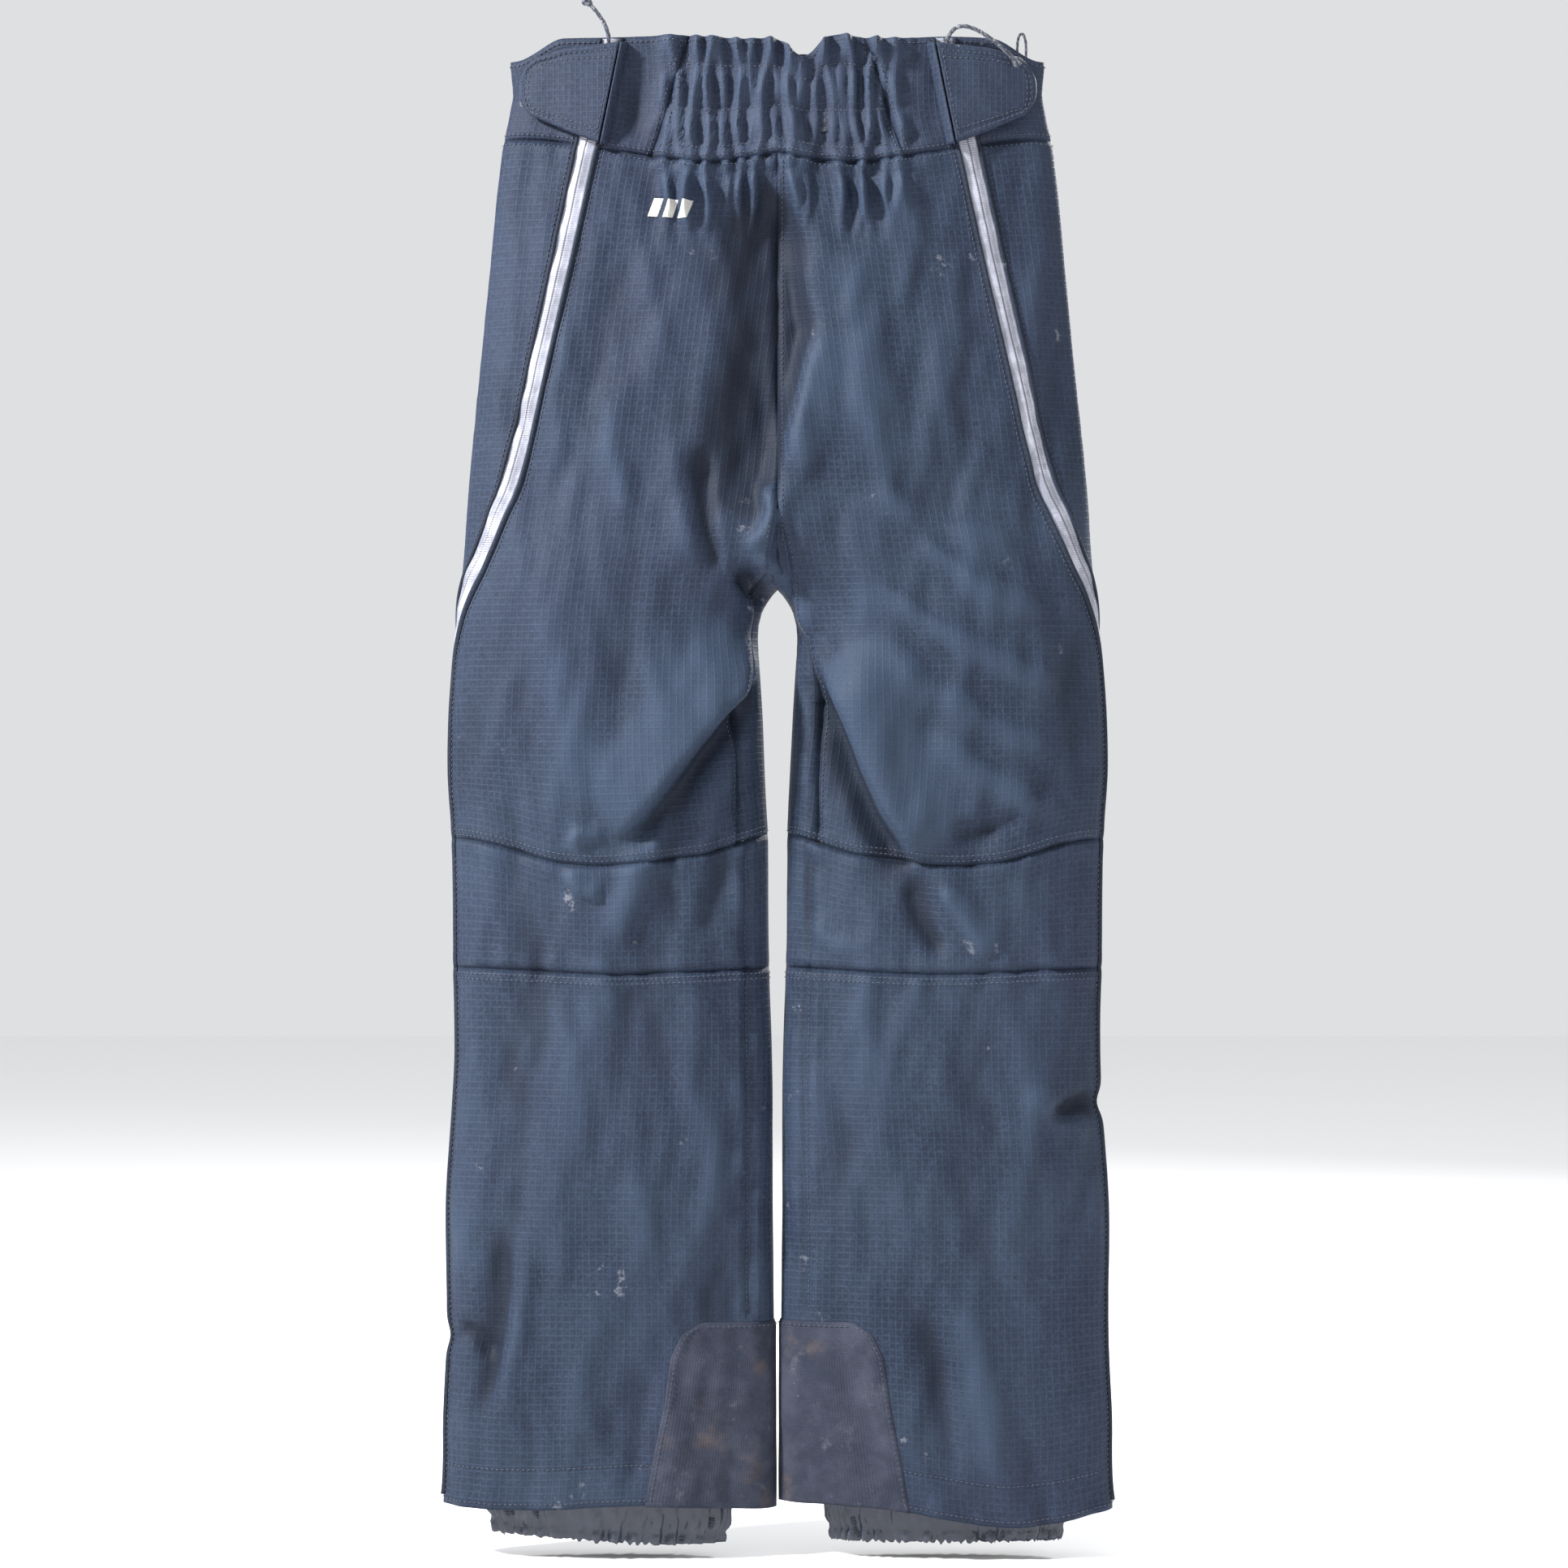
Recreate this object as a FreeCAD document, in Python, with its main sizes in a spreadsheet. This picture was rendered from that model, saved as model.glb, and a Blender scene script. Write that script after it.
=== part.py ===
import FreeCAD, Part
import math
import os

import Sketcher
from FreeCAD import Placement, Rotation, Vector

# Ski pants hanging by the waistband. The back faces -Y, the wearer's left is -X.
# The origin is the middle of the waistband's top edge. All sizes are in millimetres.

doc = FreeCAD.newDocument("ski_pants")
sheet = doc.addObject("Spreadsheet::Sheet", "Dims")

# Each level of one trouser half: height, centre, half width and half depth of the cloth outside.
LEVELS = {
    "waist": (0, 0, 190, 27),
    "band": (-80, 0, 194, 31.7),
    "hip": (-140, 0, 202, 35.4),
    "seat": (-200, 0, 208, 40.2),
    "rump": (-240, 0, 212, 43.5),
    "fork": (-300, 0, 218, 46),
    "split": (-340, 40, 181, 46.5),
    "cleft": (-370, 92, 131, 46.5),
    "crotch": (-392, 114, 111, 46),
    "groin": (-443, 121, 108, 45),
    "thigh": (-523, 120.5, 111.5, 42),
    "kneetop": (-575, 118, 111, 39),
    "kneelow": (-657, 117, 111, 38),
    "shin": (-713, 115.5, 111.5, 38),
    "midshin": (-771, 116.6, 113.2, 37.5),
    "calf": (-830, 118, 115, 37),
    "cuff": (-880, 117.6, 115, 36.5),
    "ankle": (-930, 117.8, 115.4, 35.8),
    "heel": (-983, 118.8, 116.6, 35),
    "hem": (-1036, 120, 118, 34),
}

GAITER = {
    "gtop": (-885, 117, 84, 27),
    "gmid": (-1000, 119, 88, 27),
    "glow": (-1046, 120, 86, 24),
    "gend": (-1062, 120, 82, 21),
}

# The side zip's middle line, seen from the back, from the waist to the side edge.
ZIP_LINE = [(116, 6), (134.3, -80), (171, -240), (184, -300), (203, -352), (218, -388), (226, -412)]

# The scuff guard's outer edge, from its top to the hem.
SCUFF_LINE = [(53, -906), (67, -914), (75, -930), (80, -965), (87, -1000), (94, -1040)]

SIZES = {
    "cloth": 1.8,
    "lining": 1.2,
    "skin": 0.7,
    "coilup": 1.8,
    "seamgap": 0.3,
    "bandlow": -80,
    "kneeup": -575,
    "kneedown": -657,
    "hemlow": -1036,
    "tapewide": 24,
    "coilwide": 5,
    "sidemid": 4,
    "sidelow": -1030,
    "elastictop": 62,
    "elasticlow": 89,
    "tabtop": 110,
    "tablow": 124.5,
    "tabend": 184,
    "tabupper": -22,
    "tablower": -52,
    "tabdeep": 8.6,
    "tabside": 1.6,
    "tabthick": 1.6,
    "gussettop": -330,
    "gussetwide": 28,
    "facinghigh": 22,
    "flywide": 22,
    "flytop": -86,
    "flylow": -232,
    "flapwide": 24,
    "flaptop": -16,
    "flaplow": -64,
    "snapmid": -40,
    "snapout": 12,
    "snapradius": 6,
    "gaitercloth": 1.2,
    "gaiterband": 1.6,
    "markleft": -95,
    "markwide": 37,
    "marktop": -108,
    "markhigh": 20,
    "sliderwide": 11,
    "sliderlong": 15,
    "sliderplate": 1.1,
    "sliderhigh": 2.8,
    "corddiam": 3,
    "knotradius": 4.6,
    "loopradius": 6,
    "loopwire": 0.9,
    "loopout": 178,
    "loopdeep": 8.2,
    "loophigh": 1,
    "sliderstart": -14,
    "sliderend": -220,
    "slidergap": 2.7,
    "flystart": -100,
    "flyend": -214,
    "pullerwide": 6,
    "pullerlong": 20,
    "pullerthick": 1.2,
}

row = 0


def put(alias, value):
    """Writes one driving size into the sheet."""
    global row
    row += 1
    sheet.set(f"A{row}", alias)
    sheet.set(f"B{row}", str(value))
    sheet.setAlias(f"B{row}", alias)


for table in (LEVELS, GAITER):
    for level, numbers in table.items():
        for letter, value in zip(("z", "c", "a", "b"), numbers):
            put(f"{level}_{letter}", value)
for stem, line in (("zip", ZIP_LINE), ("scuff", SCUFF_LINE)):
    for i, (x, z) in enumerate(line):
        put(f"{stem}_x_{i}", x)
        put(f"{stem}_z_{i}", z)
for alias, value in SIZES.items():
    put(alias, value)
doc.recompute()


def size(alias):
    """Reads one driving size back from the sheet."""
    return float(sheet.get(alias))


def add(kind, name, **links):
    obj = doc.addObject(kind, name)
    for key, value in links.items():
        setattr(obj, key, value)
    return obj


def bind(obj, **formulas):
    """Binds properties to the sheet. Two underscores stand for a dot."""
    for key, formula in formulas.items():
        obj.setExpression(key.replace("__", "."), formula)
    return obj


def common(name, *shapes):
    """The space that all the given objects share."""
    body = shapes[0]
    for i, tool in enumerate(shapes[1:]):
        body = add("Part::Common", f"{name}_{i}", Base=body, Tool=tool)
    return body


def cut(name, base, tool):
    return add("Part::Cut", name, Base=base, Tool=tool)


def fuse(name, *shapes):
    return add("Part::MultiFuse", name, Shapes=list(shapes))


def box(name, low, high):
    """A box between two corners, each given as three formulas."""
    block = add("Part::Box", name)
    for key, lo, hi in zip(("Length", "Width", "Height"), low, high):
        block.setExpression(key, f"({hi}) - ({lo})")
    for key, lo in zip("xyz", low):
        block.setExpression(f"Placement.Base.{key}", str(lo))
    return block


def side_box(name, sign, inner, outer, low, high):
    """A box between two distances from the middle, on one side. low and high are (y, z) formulas."""
    near, far = (inner, outer) if sign > 0 else (f"-({outer})", f"-({inner})")
    return box(name, (near, *low), (far, *high))


def loft(name, levels, sign, wider="0", deeper=None):
    """A closed body of oval sections, grown by the given formulas in width and depth."""
    deeper = wider if deeper is None else deeper
    ovals = []
    for level in levels:
        oval = add("Part::Ellipse", f"{name}_{level}")
        bind(
            oval,
            MajorRadius=f"Dims.{level}_a + {wider}",
            MinorRadius=f"Dims.{level}_b + {deeper}",
            Placement__Base__x=f"{sign} * Dims.{level}_c",
            Placement__Base__z=f"Dims.{level}_z",
        )
        # Each oval starts at its inner end, so that the loft's seam runs down the inside of the leg.
        oval.Placement.Rotation = Rotation(Vector(0, 0, 1), 180 if sign > 0 else 0)
        ovals.append(oval)
    return add("Part::Loft", name, Sections=ovals, Solid=True, Ruled=False)


def prism(name, corners, front, back):
    """A polygon drawn across X and Z by formulas, pushed along Y: front towards +Y, back towards -Y."""
    sketch = add("Sketcher::SketchObject", f"{name}_outline")
    sketch.Placement = Placement(Vector(0, 0, 0), Rotation(Vector(1, 0, 0), 90))
    count = len(corners)
    points = [Vector(*(float(sheet.evalExpression(str(f))) for f in corner), 0) for corner in corners]
    for i in range(count):
        sketch.addGeometry(Part.LineSegment(points[i], points[(i + 1) % count]), False)
    for i in range(count):
        sketch.addConstraint(Sketcher.Constraint("Coincident", i, 2, (i + 1) % count, 1))
    for i, corner in enumerate(corners):
        for kind, formula, value in zip(("DistanceX", "DistanceY"), corner, points[i]):
            n = sketch.addConstraint(Sketcher.Constraint(kind, -1, 1, i, 1, value))
            sketch.setExpression(f"Constraints[{n}]", str(formula))
    body = add("Part::Extrusion", name, Base=sketch, DirMode="Custom", Dir=Vector(0, 1, 0), Solid=True)
    return bind(body, LengthFwd=front, LengthRev=back)


def strip(name, stem, count, sign, half, front, back):
    """A band of even width along one of the sheet's lines."""
    one = [(f"{sign} * (Dims.{stem}_x_{i} - {half})", f"Dims.{stem}_z_{i}") for i in range(count)]
    two = [(f"{sign} * (Dims.{stem}_x_{i} + {half})", f"Dims.{stem}_z_{i}") for i in range(count)]
    return prism(name, one + two[::-1], front, back)


parts = {}


def part(name, obj):
    """Names an object as one of the finished pieces."""
    obj.Label = name
    parts[name] = obj
    return obj


def piece(name, *shapes):
    return part(name, common(name, *shapes))


def pad(body, name, outline, wide, long, low, top):
    """A plate on the body's XZ plane, from low to top towards -Y. The outline is in shares of wide and long."""
    plane = next(f for f in body.Origin.OriginFeatures if f.Role == "XZ_Plane")
    sketch = body.newObject("Sketcher::SketchObject", f"{name}_outline")
    sketch.AttachmentSupport = [(plane, "")]
    sketch.MapMode = "FlatFace"
    bind(sketch, AttachmentOffset__Base__z=low)
    count = len(outline)
    for i in range(count):
        ends = [Vector(10 * x, 10 * z, 0) for x, z in (outline[i], outline[(i + 1) % count])]
        sketch.addGeometry(Part.LineSegment(*ends), False)
    for i, corner in enumerate(outline):
        sketch.addConstraint(Sketcher.Constraint("Coincident", i, 2, (i + 1) % count, 1))
        for kind, share, whole in zip(("DistanceX", "DistanceY"), corner, (wide, long)):
            n = sketch.addConstraint(Sketcher.Constraint(kind, -1, 1, i, 1, 10 * share))
            sketch.setExpression(f"Constraints[{n}]", f"{share} * {whole}")
    plate = body.newObject("PartDesign::Pad", name)
    plate.Profile = sketch
    return bind(plate, Length=f"({top}) - ({low})")


SLIDER_PLATE = [(-0.5, -0.5), (0.5, -0.5), (0.36, 0.5), (-0.36, 0.5)]
SLIDER_POST = [(-0.12, 0.1), (0.12, 0.1), (0.12, 0.4), (-0.12, 0.4)]
SLIDER_CROWN = [(-0.2, -0.35), (0.2, -0.35), (0.16, 0.42), (-0.16, 0.42)]
PULLER = [(-0.3, -1), (0.3, -1), (0.5, -0.9), (0.4, 0), (-0.4, 0), (-0.5, -0.9)]


def slider(name):
    """A zip slider: a tapered plate, a post and a crown over it."""
    body = add("PartDesign::Body", name)
    wide, long = "Dims.sliderwide", "Dims.sliderlong"
    pad(body, f"{name}_plate", SLIDER_PLATE, wide, long, "0", "Dims.sliderplate")
    pad(body, f"{name}_post", SLIDER_POST, wide, long, "0", "Dims.sliderhigh")
    pad(body, f"{name}_crown", SLIDER_CROWN, wide, long, "Dims.sliderhigh - 0.9", "Dims.sliderhigh")
    return part(name, body)


def level_at(z, letter):
    """The cloth's half width or half depth between two levels of the waist and seat."""
    names = ["waist", "band", "hip", "seat", "rump"]
    for above, under in zip(names, names[1:]):
        top, low = size(f"{above}_z"), size(f"{under}_z")
        if z >= low:
            share = min((top - z) / (top - low), 1)
            return size(f"{above}_{letter}") * (1 - share) + size(f"{under}_{letter}") * share
    return size(f"rump_{letter}")


def on_back(x, z):
    """A point of the back cloth's outside, and the way out of it."""
    wide, deep = level_at(z, "a"), level_at(z, "b")
    y = -deep * math.sqrt(1 - (x / wide) ** 2)
    out = Vector(x / wide**2, y / deep**2, 0).normalize()
    return Vector(x, y, z), out


def zip_x(z):
    """How far out the side zip's middle is on its straight upper run."""
    top, low = size("zip_z_0"), size("zip_z_2")
    share = (top - z) / (top - low)
    return size("zip_x_0") + share * (size("zip_x_2") - size("zip_x_0"))


def seat(body, place, rise, outward):
    """Puts a body with its local +Z along rise and its local -Y outward."""
    rise.normalize()
    inward = outward * -1
    body.Placement = Placement(place, Rotation(inward.cross(rise), inward, rise, "ZYX"))


def tube_through(name, alias, route):
    """A round cord along straight runs joined by arcs, each as wide as the shorter run allows."""
    edges = []
    start = route[0]
    for last, here, following in zip(route, route[1:], route[2:]):
        before, after = last - here, following - here
        reach = 0.45 * min(before.Length, after.Length)
        half_turn = (math.pi - before.getAngle(after)) / 2
        radius = reach / math.tan(half_turn)
        before.normalize()
        after.normalize()
        inward = (before + after).normalize()
        middle = here + inward * (math.hypot(radius, reach) - radius)
        one, two = here + before * reach, here + after * reach
        edges.append(Part.makeLine(start, one))
        edges.append(Part.Arc(one, middle, two).toShape())
        start = two
    edges.append(Part.makeLine(start, route[-1]))
    ring = Part.Wire(Part.makeCircle(size(alias) / 2, route[0], route[1] - route[0]))
    cord = add("Part::Feature", name)
    cord.Shape = Part.Wire(edges).makePipeShell([ring], True, False)
    return cord


SIDES = {"left": -1, "right": 1}
FAR = 170
REACH = "320"
CORD_ROUTES = {
    "left": [(-119, -25.6, -5.1), (-117.5, -27.5, 7), (-132, -28.5, 22)],
    "right": [(119, -25.6, -5.1), (122.5, -28.5, 9), (146, -30.5, 3), (167, -25, -16)],
}
shells = {}
faces = {}

for side, sign in SIDES.items():
    # The cloth shell of this half, and thin shells just outside and inside it.
    def slab(name, low, high, deep=(-FAR, FAR)):
        return side_box(f"{name}_{side}", sign, "0", REACH, (deep[0], low), (deep[1], high))

    half_space = slab("space", "-1100", "60")
    grown = {}
    for layer, formula in {
        "face": "0",
        "skin": "Dims.skin",
        "coil": "Dims.coilup",
        "hollow": "-Dims.cloth",
        "inner": "-Dims.cloth - Dims.lining",
    }.items():
        grown[layer] = loft(f"{layer}_{side}", LEVELS, sign, formula)
    face_shell = cut(f"face_shell_{side}", grown["face"], grown["hollow"])
    skin_shell = cut(f"skin_shell_{side}", grown["skin"], grown["face"])
    coil_shell = cut(f"coil_shell_{side}", grown["coil"], grown["skin"])
    lining = cut(f"lining_{side}", grown["hollow"], grown["inner"])
    cloth = common(f"cloth_{side}", face_shell, half_space)
    skin = common(f"skin_half_{side}", skin_shell, half_space)
    coil = common(f"coil_half_{side}", coil_shell, half_space)
    shells[side] = {"face": face_shell, "skin": skin_shell, "coil": coil_shell, "lining": lining}
    faces[side] = grown["face"]

    # Where the back cloth ends: along the zip, then down the side edge.
    count = len(ZIP_LINE)
    seam = [(f"{sign} * Dims.zip_x_{i}", f"Dims.zip_z_{i}") for i in range(1, count)]
    below = [(f"{sign} * 300", f"Dims.zip_z_{count - 1}"), (f"{sign} * 300", "-1100"), ("0", "-1100")]
    rear = prism(f"rear_{side}", [("0", "Dims.bandlow")] + seam + below, "0", str(FAR))

    # Waistband: a back panel, and a front end that wraps round the side.
    band_cloth = common(f"band_cloth_{side}", cloth, slab("band_slab", "Dims.bandlow", "Dims.waist_z"))
    panel_space = prism(
        f"band_panel_space_{side}",
        [
            (f"{sign} * Dims.elastictop", "Dims.waist_z + 1"),
            (f"{sign} * Dims.elasticlow", "Dims.bandlow"),
            (f"{sign} * Dims.tablow", "Dims.bandlow"),
            (f"{sign} * Dims.tabtop", "Dims.waist_z + 1"),
        ],
        "0",
        str(FAR),
    )
    behind = prism(
        f"band_behind_{side}",
        [
            ("0", "Dims.waist_z + 1"),
            ("0", "Dims.bandlow - 1"),
            (f"{sign} * Dims.tablow", "Dims.bandlow - 1"),
            (f"{sign} * Dims.tablow", "Dims.bandlow"),
            (f"{sign} * Dims.tabtop", "Dims.waist_z + 1"),
        ],
        "0",
        str(FAR),
    )
    piece(f"waistband_panel_{side}", band_cloth, panel_space)
    part(f"waistband_front_{side}", cut(f"waistband_front_{side}", band_cloth, behind))

    # Seat, thigh and the gusset down the inside of the leg.
    gusset_space = prism(
        f"gusset_space_{side}",
        [
            ("0", "Dims.gussettop"),
            (f"{sign} * Dims.gussetwide", "Dims.groin_z - 20"),
            (f"{sign} * Dims.gussetwide", "Dims.kneeup"),
            ("0", "Dims.kneeup"),
        ],
        str(FAR),
        str(FAR),
    )
    upper_cloth = common(f"upper_cloth_{side}", cloth, slab("upper_slab", "Dims.kneeup", "Dims.bandlow"))
    outer_cloth = cut(f"outer_cloth_{side}", upper_cloth, gusset_space)
    piece(f"leg_gusset_{side}", upper_cloth, gusset_space)
    piece(f"back_panel_{side}", outer_cloth, rear)
    part(f"front_panel_{side}", cut(f"front_panel_{side}", outer_cloth, rear))

    # Knee panels, and the lower leg a hair below them.
    for face, deep, lower in (("back", (-FAR, 0), "calf_panel"), ("front", (0, FAR), "shin_panel")):
        knee = slab(f"knee_{face}_slab", "Dims.kneedown", "Dims.kneeup", deep)
        shin = slab(f"shin_{face}_slab", "Dims.hemlow", "Dims.kneedown - Dims.seamgap", deep)
        piece(f"knee_{face}_{side}", cloth, knee)
        piece(f"{lower}_{side}", cloth, shin)

    # Hem facing inside the leg, and the scuff guard outside it.
    piece(f"hem_facing_{side}", lining, slab("facing_slab", "Dims.hemlow", "Dims.hemlow + Dims.facinghigh"))
    scuff_edge = [(f"{sign} * Dims.scuff_x_{i}", f"Dims.scuff_z_{i}") for i in range(len(SCUFF_LINE))]
    scuff_ends = [(f"{-10 * sign}", "Dims.scuff_z_0 + 3"), (f"{-10 * sign}", "Dims.scuff_z_5 - 3")]
    scuff_corners = [scuff_ends[0]] + scuff_edge + [scuff_ends[1]]
    piece(f"scuff_guard_{side}", skin_shell, prism(f"scuff_space_{side}", scuff_corners, str(FAR), str(FAR)))

    # Side zip: tape and coil in three lengths, so that the knee can bend.
    strands = []
    for strand, layer, half in (("tape", skin, "Dims.tapewide / 2"), ("coil", coil, "Dims.coilwide / 2")):
        across = strip(f"zip_{strand}_across_{side}", "zip", count, sign, half, "0", str(FAR))
        along = side_box(
            f"zip_{strand}_along_{side}",
            sign,
            "Dims.hem_c",
            REACH,
            (f"Dims.sidemid - {half}", "Dims.sidelow"),
            (f"Dims.sidemid + {half}", "Dims.zip_z_5 - 4"),
        )
        track = fuse(f"zip_{strand}_track_{side}", across, along)
        strands.append(common(f"zip_{strand}_{side}", layer, track))
    zip_whole = fuse(f"zip_whole_{side}", *strands)
    for length, low, high in (
        ("thigh", "Dims.kneeup", "Dims.waist_z"),
        ("knee", "Dims.kneedown", "Dims.kneeup"),
        ("shin", "Dims.sidelow", "Dims.kneedown - Dims.seamgap"),
    ):
        piece(f"side_zip_{length}_{side}", zip_whole, slab(f"zip_{length}_slab", low, high))

    # Waist tab: a strap that stands off the waistband over the zip, sewn down at its inner end.
    upper = ("waist", "band")
    out = "Dims.tabthick"
    tab_under = loft(f"tab_under_{side}", upper, sign, "Dims.tabside", "Dims.tabdeep")
    tab_over = loft(f"tab_over_{side}", upper, sign, f"Dims.tabside + {out}", f"Dims.tabdeep + {out}")
    tab_space = prism(
        f"tab_space_{side}",
        [
            (f"{sign} * (Dims.tabtop + 1.5)", "Dims.waist_z - 4"),
            (f"{sign} * (Dims.tabtop + 46)", "Dims.waist_z - 9"),
            (f"{sign} * (Dims.tabend - 7)", "Dims.tabupper + 5"),
            (f"{sign} * Dims.tabend", "Dims.tabupper - 6"),
            (f"{sign} * Dims.tabend", "Dims.tablower + 6"),
            (f"{sign} * (Dims.tabend - 8)", "Dims.tablower - 3"),
            (f"{sign} * (Dims.tablow + 22)", "Dims.bandlow + 12"),
            (f"{sign} * (Dims.tablow + 1.5)", "Dims.bandlow + 4"),
        ],
        "0",
        str(FAR),
    )
    piece(f"waist_tab_{side}", cut(f"tab_shell_{side}", tab_over, tab_under), tab_space)
    fold_space = prism(
        f"fold_space_{side}",
        [
            (f"{sign} * (Dims.tabtop - 4)", "Dims.waist_z - 4"),
            (f"{sign} * (Dims.tabtop + 0.5)", "Dims.waist_z - 4"),
            (f"{sign} * (Dims.tablow + 0.5)", "Dims.bandlow + 4"),
            (f"{sign} * (Dims.tablow - 4)", "Dims.bandlow + 4"),
        ],
        "0",
        str(FAR),
    )
    fold_shell = cut(f"fold_shell_{side}", tab_over, grown["skin"])
    piece(f"waist_tab_fold_{side}", fold_shell, fold_space)
    hook_floor = loft(f"hook_floor_{side}", upper, sign, "1.1", "2.4")
    for grip, layer, edge in (
        ("hook", cut(f"hook_shell_{side}", tab_under, hook_floor), "4"),
        ("loop", skin, "1"),
    ):
        grip_box = side_box(
            f"waist_tab_{grip}_space_{side}",
            sign,
            f"Dims.tabend - 26 - {edge}",
            f"Dims.tabend - {edge}",
            (-FAR, "Dims.tablower + 2"),
            (0, "Dims.tabupper - 4"),
        )
        piece(f"waist_tab_{grip}_{side}", layer, grip_box)

    # Gaiter: a soft tube inside the hem, with an elastic round its lower end.
    gaiter_face = loft(f"gaiter_face_{side}", GAITER, sign)
    gaiter_hollow = loft(f"gaiter_hollow_{side}", GAITER, sign, "-Dims.gaitercloth")
    gaiter_core = loft(f"gaiter_core_{side}", GAITER, sign, "-Dims.gaitercloth - Dims.gaiterband")
    part(f"gaiter_{side}", cut(f"gaiter_{side}", gaiter_face, gaiter_hollow))
    gaiter_ring = cut(f"gaiter_ring_{side}", gaiter_hollow, gaiter_core)
    piece(f"gaiter_elastic_{side}", gaiter_ring, slab("gaiter_band", "Dims.gend_z", "Dims.gend_z + 10"))

    # The side zip's slider, closed at the top, with its pull cord and knot.
    high, outward = on_back(sign * zip_x(size("sliderstart")), size("sliderstart"))
    low, _ = on_back(sign * zip_x(size("sliderend")), size("sliderend"))
    seat(slider(f"zip_slider_{side}"), high + outward * size("slidergap"), high - low, outward)
    route = [Vector(*p) for p in CORD_ROUTES[side]]
    cord = part(f"pull_cord_{side}", tube_through(f"pull_cord_{side}", "corddiam", route))
    ball = bind(add("Part::Sphere", f"knot_ball_{side}"), Radius="Dims.knotradius")
    ball.Placement.Base = route[-1] + (route[-1] - route[-2]).normalize() * (size("knotradius") - 2)
    part(f"pull_knot_{side}", cut(f"pull_knot_{side}", ball, cord))

# The fly uses the right half's shells, which are whole ovals at the waist.
whole = shells["right"]


def across(name, layer, space):
    """A piece cut from both halves' shells and joined down the middle."""
    halves = []
    for side, sign in SIDES.items():
        half = side_box(f"{name}_half_{side}", sign, "0", REACH, (-FAR, "-150"), (0, "20"))
        halves.append(common(f"{name}_{side}", shells[side][layer], half, space))
    return part(name, fuse(name, *halves))


elastic_space = prism(
    "elastic_space",
    [
        ("-Dims.elastictop", "Dims.waist_z + 1"),
        ("-Dims.elasticlow", "Dims.bandlow"),
        ("Dims.elasticlow", "Dims.bandlow"),
        ("Dims.elastictop", "Dims.waist_z + 1"),
    ],
    "0",
    str(FAR),
)
across("waistband_elastic", "face", elastic_space)
inner_box = box("inner_elastic_space", ("-74", str(-FAR), "-68"), ("74", "0", "-12"))
across("inner_elastic", "lining", inner_box)
mark_box = box(
    "mark_space",
    ("Dims.markleft", str(-FAR), "Dims.marktop - Dims.markhigh"),
    ("Dims.markleft + Dims.markwide", "0", "Dims.marktop"),
)
piece("stitched_mark", shells["left"]["skin"], mark_box)

# A small loop inside the waistband for the hanger.
ring = bind(
    add("Part::Torus", "hanger_ring"),
    Radius1="Dims.loopradius",
    Radius2="Dims.loopwire",
    Placement__Base__x="Dims.loopout",
    Placement__Base__y="Dims.loopdeep",
    Placement__Base__z="Dims.loophigh",
)
ring.Placement.Rotation = Rotation(Vector(1, 0, 0), 90)
part("hanger_loop", cut("hanger_loop", ring, whole["face"]))

# Front fly: tape, coil, slider and puller.
for strand, layer, half in (
    ("tape", "skin", "Dims.flywide / 2"),
    ("coil", "coil", "Dims.coilwide / 2"),
):
    space = box(f"fly_{strand}_space", (f"-{half}", "0", "Dims.flylow"), (half, str(FAR), "Dims.flytop"))
    piece(f"fly_{strand}", whole[layer], space)
fly_high = Vector(0, level_at(size("flystart"), "b"), size("flystart"))
fly_low = Vector(0, level_at(size("flyend"), "b"), size("flyend"))
rise = (fly_high - fly_low).normalize()
outward = rise.cross(Vector(1, 0, 0))
seat(slider("fly_slider"), fly_high + outward * size("slidergap"), rise, outward)
fly_puller = add("PartDesign::Body", "fly_puller")
pad(fly_puller, "fly_puller_plate", PULLER, "Dims.pullerwide", "Dims.pullerlong", "0", "Dims.pullerthick")
clear = size("slidergap") + size("sliderhigh") + 0.8
seat(part("fly_puller", fly_puller), fly_high + outward * clear + rise * 5, rise, outward)

# Waist closure: a flap across the middle of the front, held by a snap.
levels = ("waist", "band")
offsets = {"stud": 1.2, "socket": 1.5, "under": 3, "over": 4.6, "cap": 5.8}
floors = {stage: loft(f"closure_{stage}", levels, 1, str(off)) for stage, off in offsets.items()}
flap_space = box(
    "flap_space", ("-Dims.flapwide", "0", "Dims.flaplow"), ("Dims.flapwide", str(FAR), "Dims.flaptop")
)
piece("closure_flap", cut("flap_shell", floors["over"], floors["under"]), flap_space)
fold_box = box(
    "flap_fold_space",
    ("-Dims.flapwide - 5", "0", "Dims.flaplow"),
    ("-Dims.flapwide - 0.6", str(FAR), "Dims.flaptop"),
)
piece("closure_fold", cut("flap_fold_shell", floors["over"], faces["right"]), fold_box)
for name, floor, roof, share in (
    ("snap_stud", faces["right"], floors["stud"], 0.8),
    ("snap_socket", floors["socket"], floors["under"], 1),
    ("snap_cap", floors["over"], floors["cap"], 1.15),
):
    pin = bind(
        add("Part::Cylinder", f"{name}_pin"),
        Radius=f"Dims.snapradius * {share}",
        Height=str(FAR),
        Placement__Base__x="Dims.snapout",
        Placement__Base__z="Dims.snapmid",
    )
    pin.Placement.Rotation = Rotation(Vector(1, 0, 0), -90)
    piece(name, cut(f"{name}_gap", roof, floor), pin)

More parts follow.
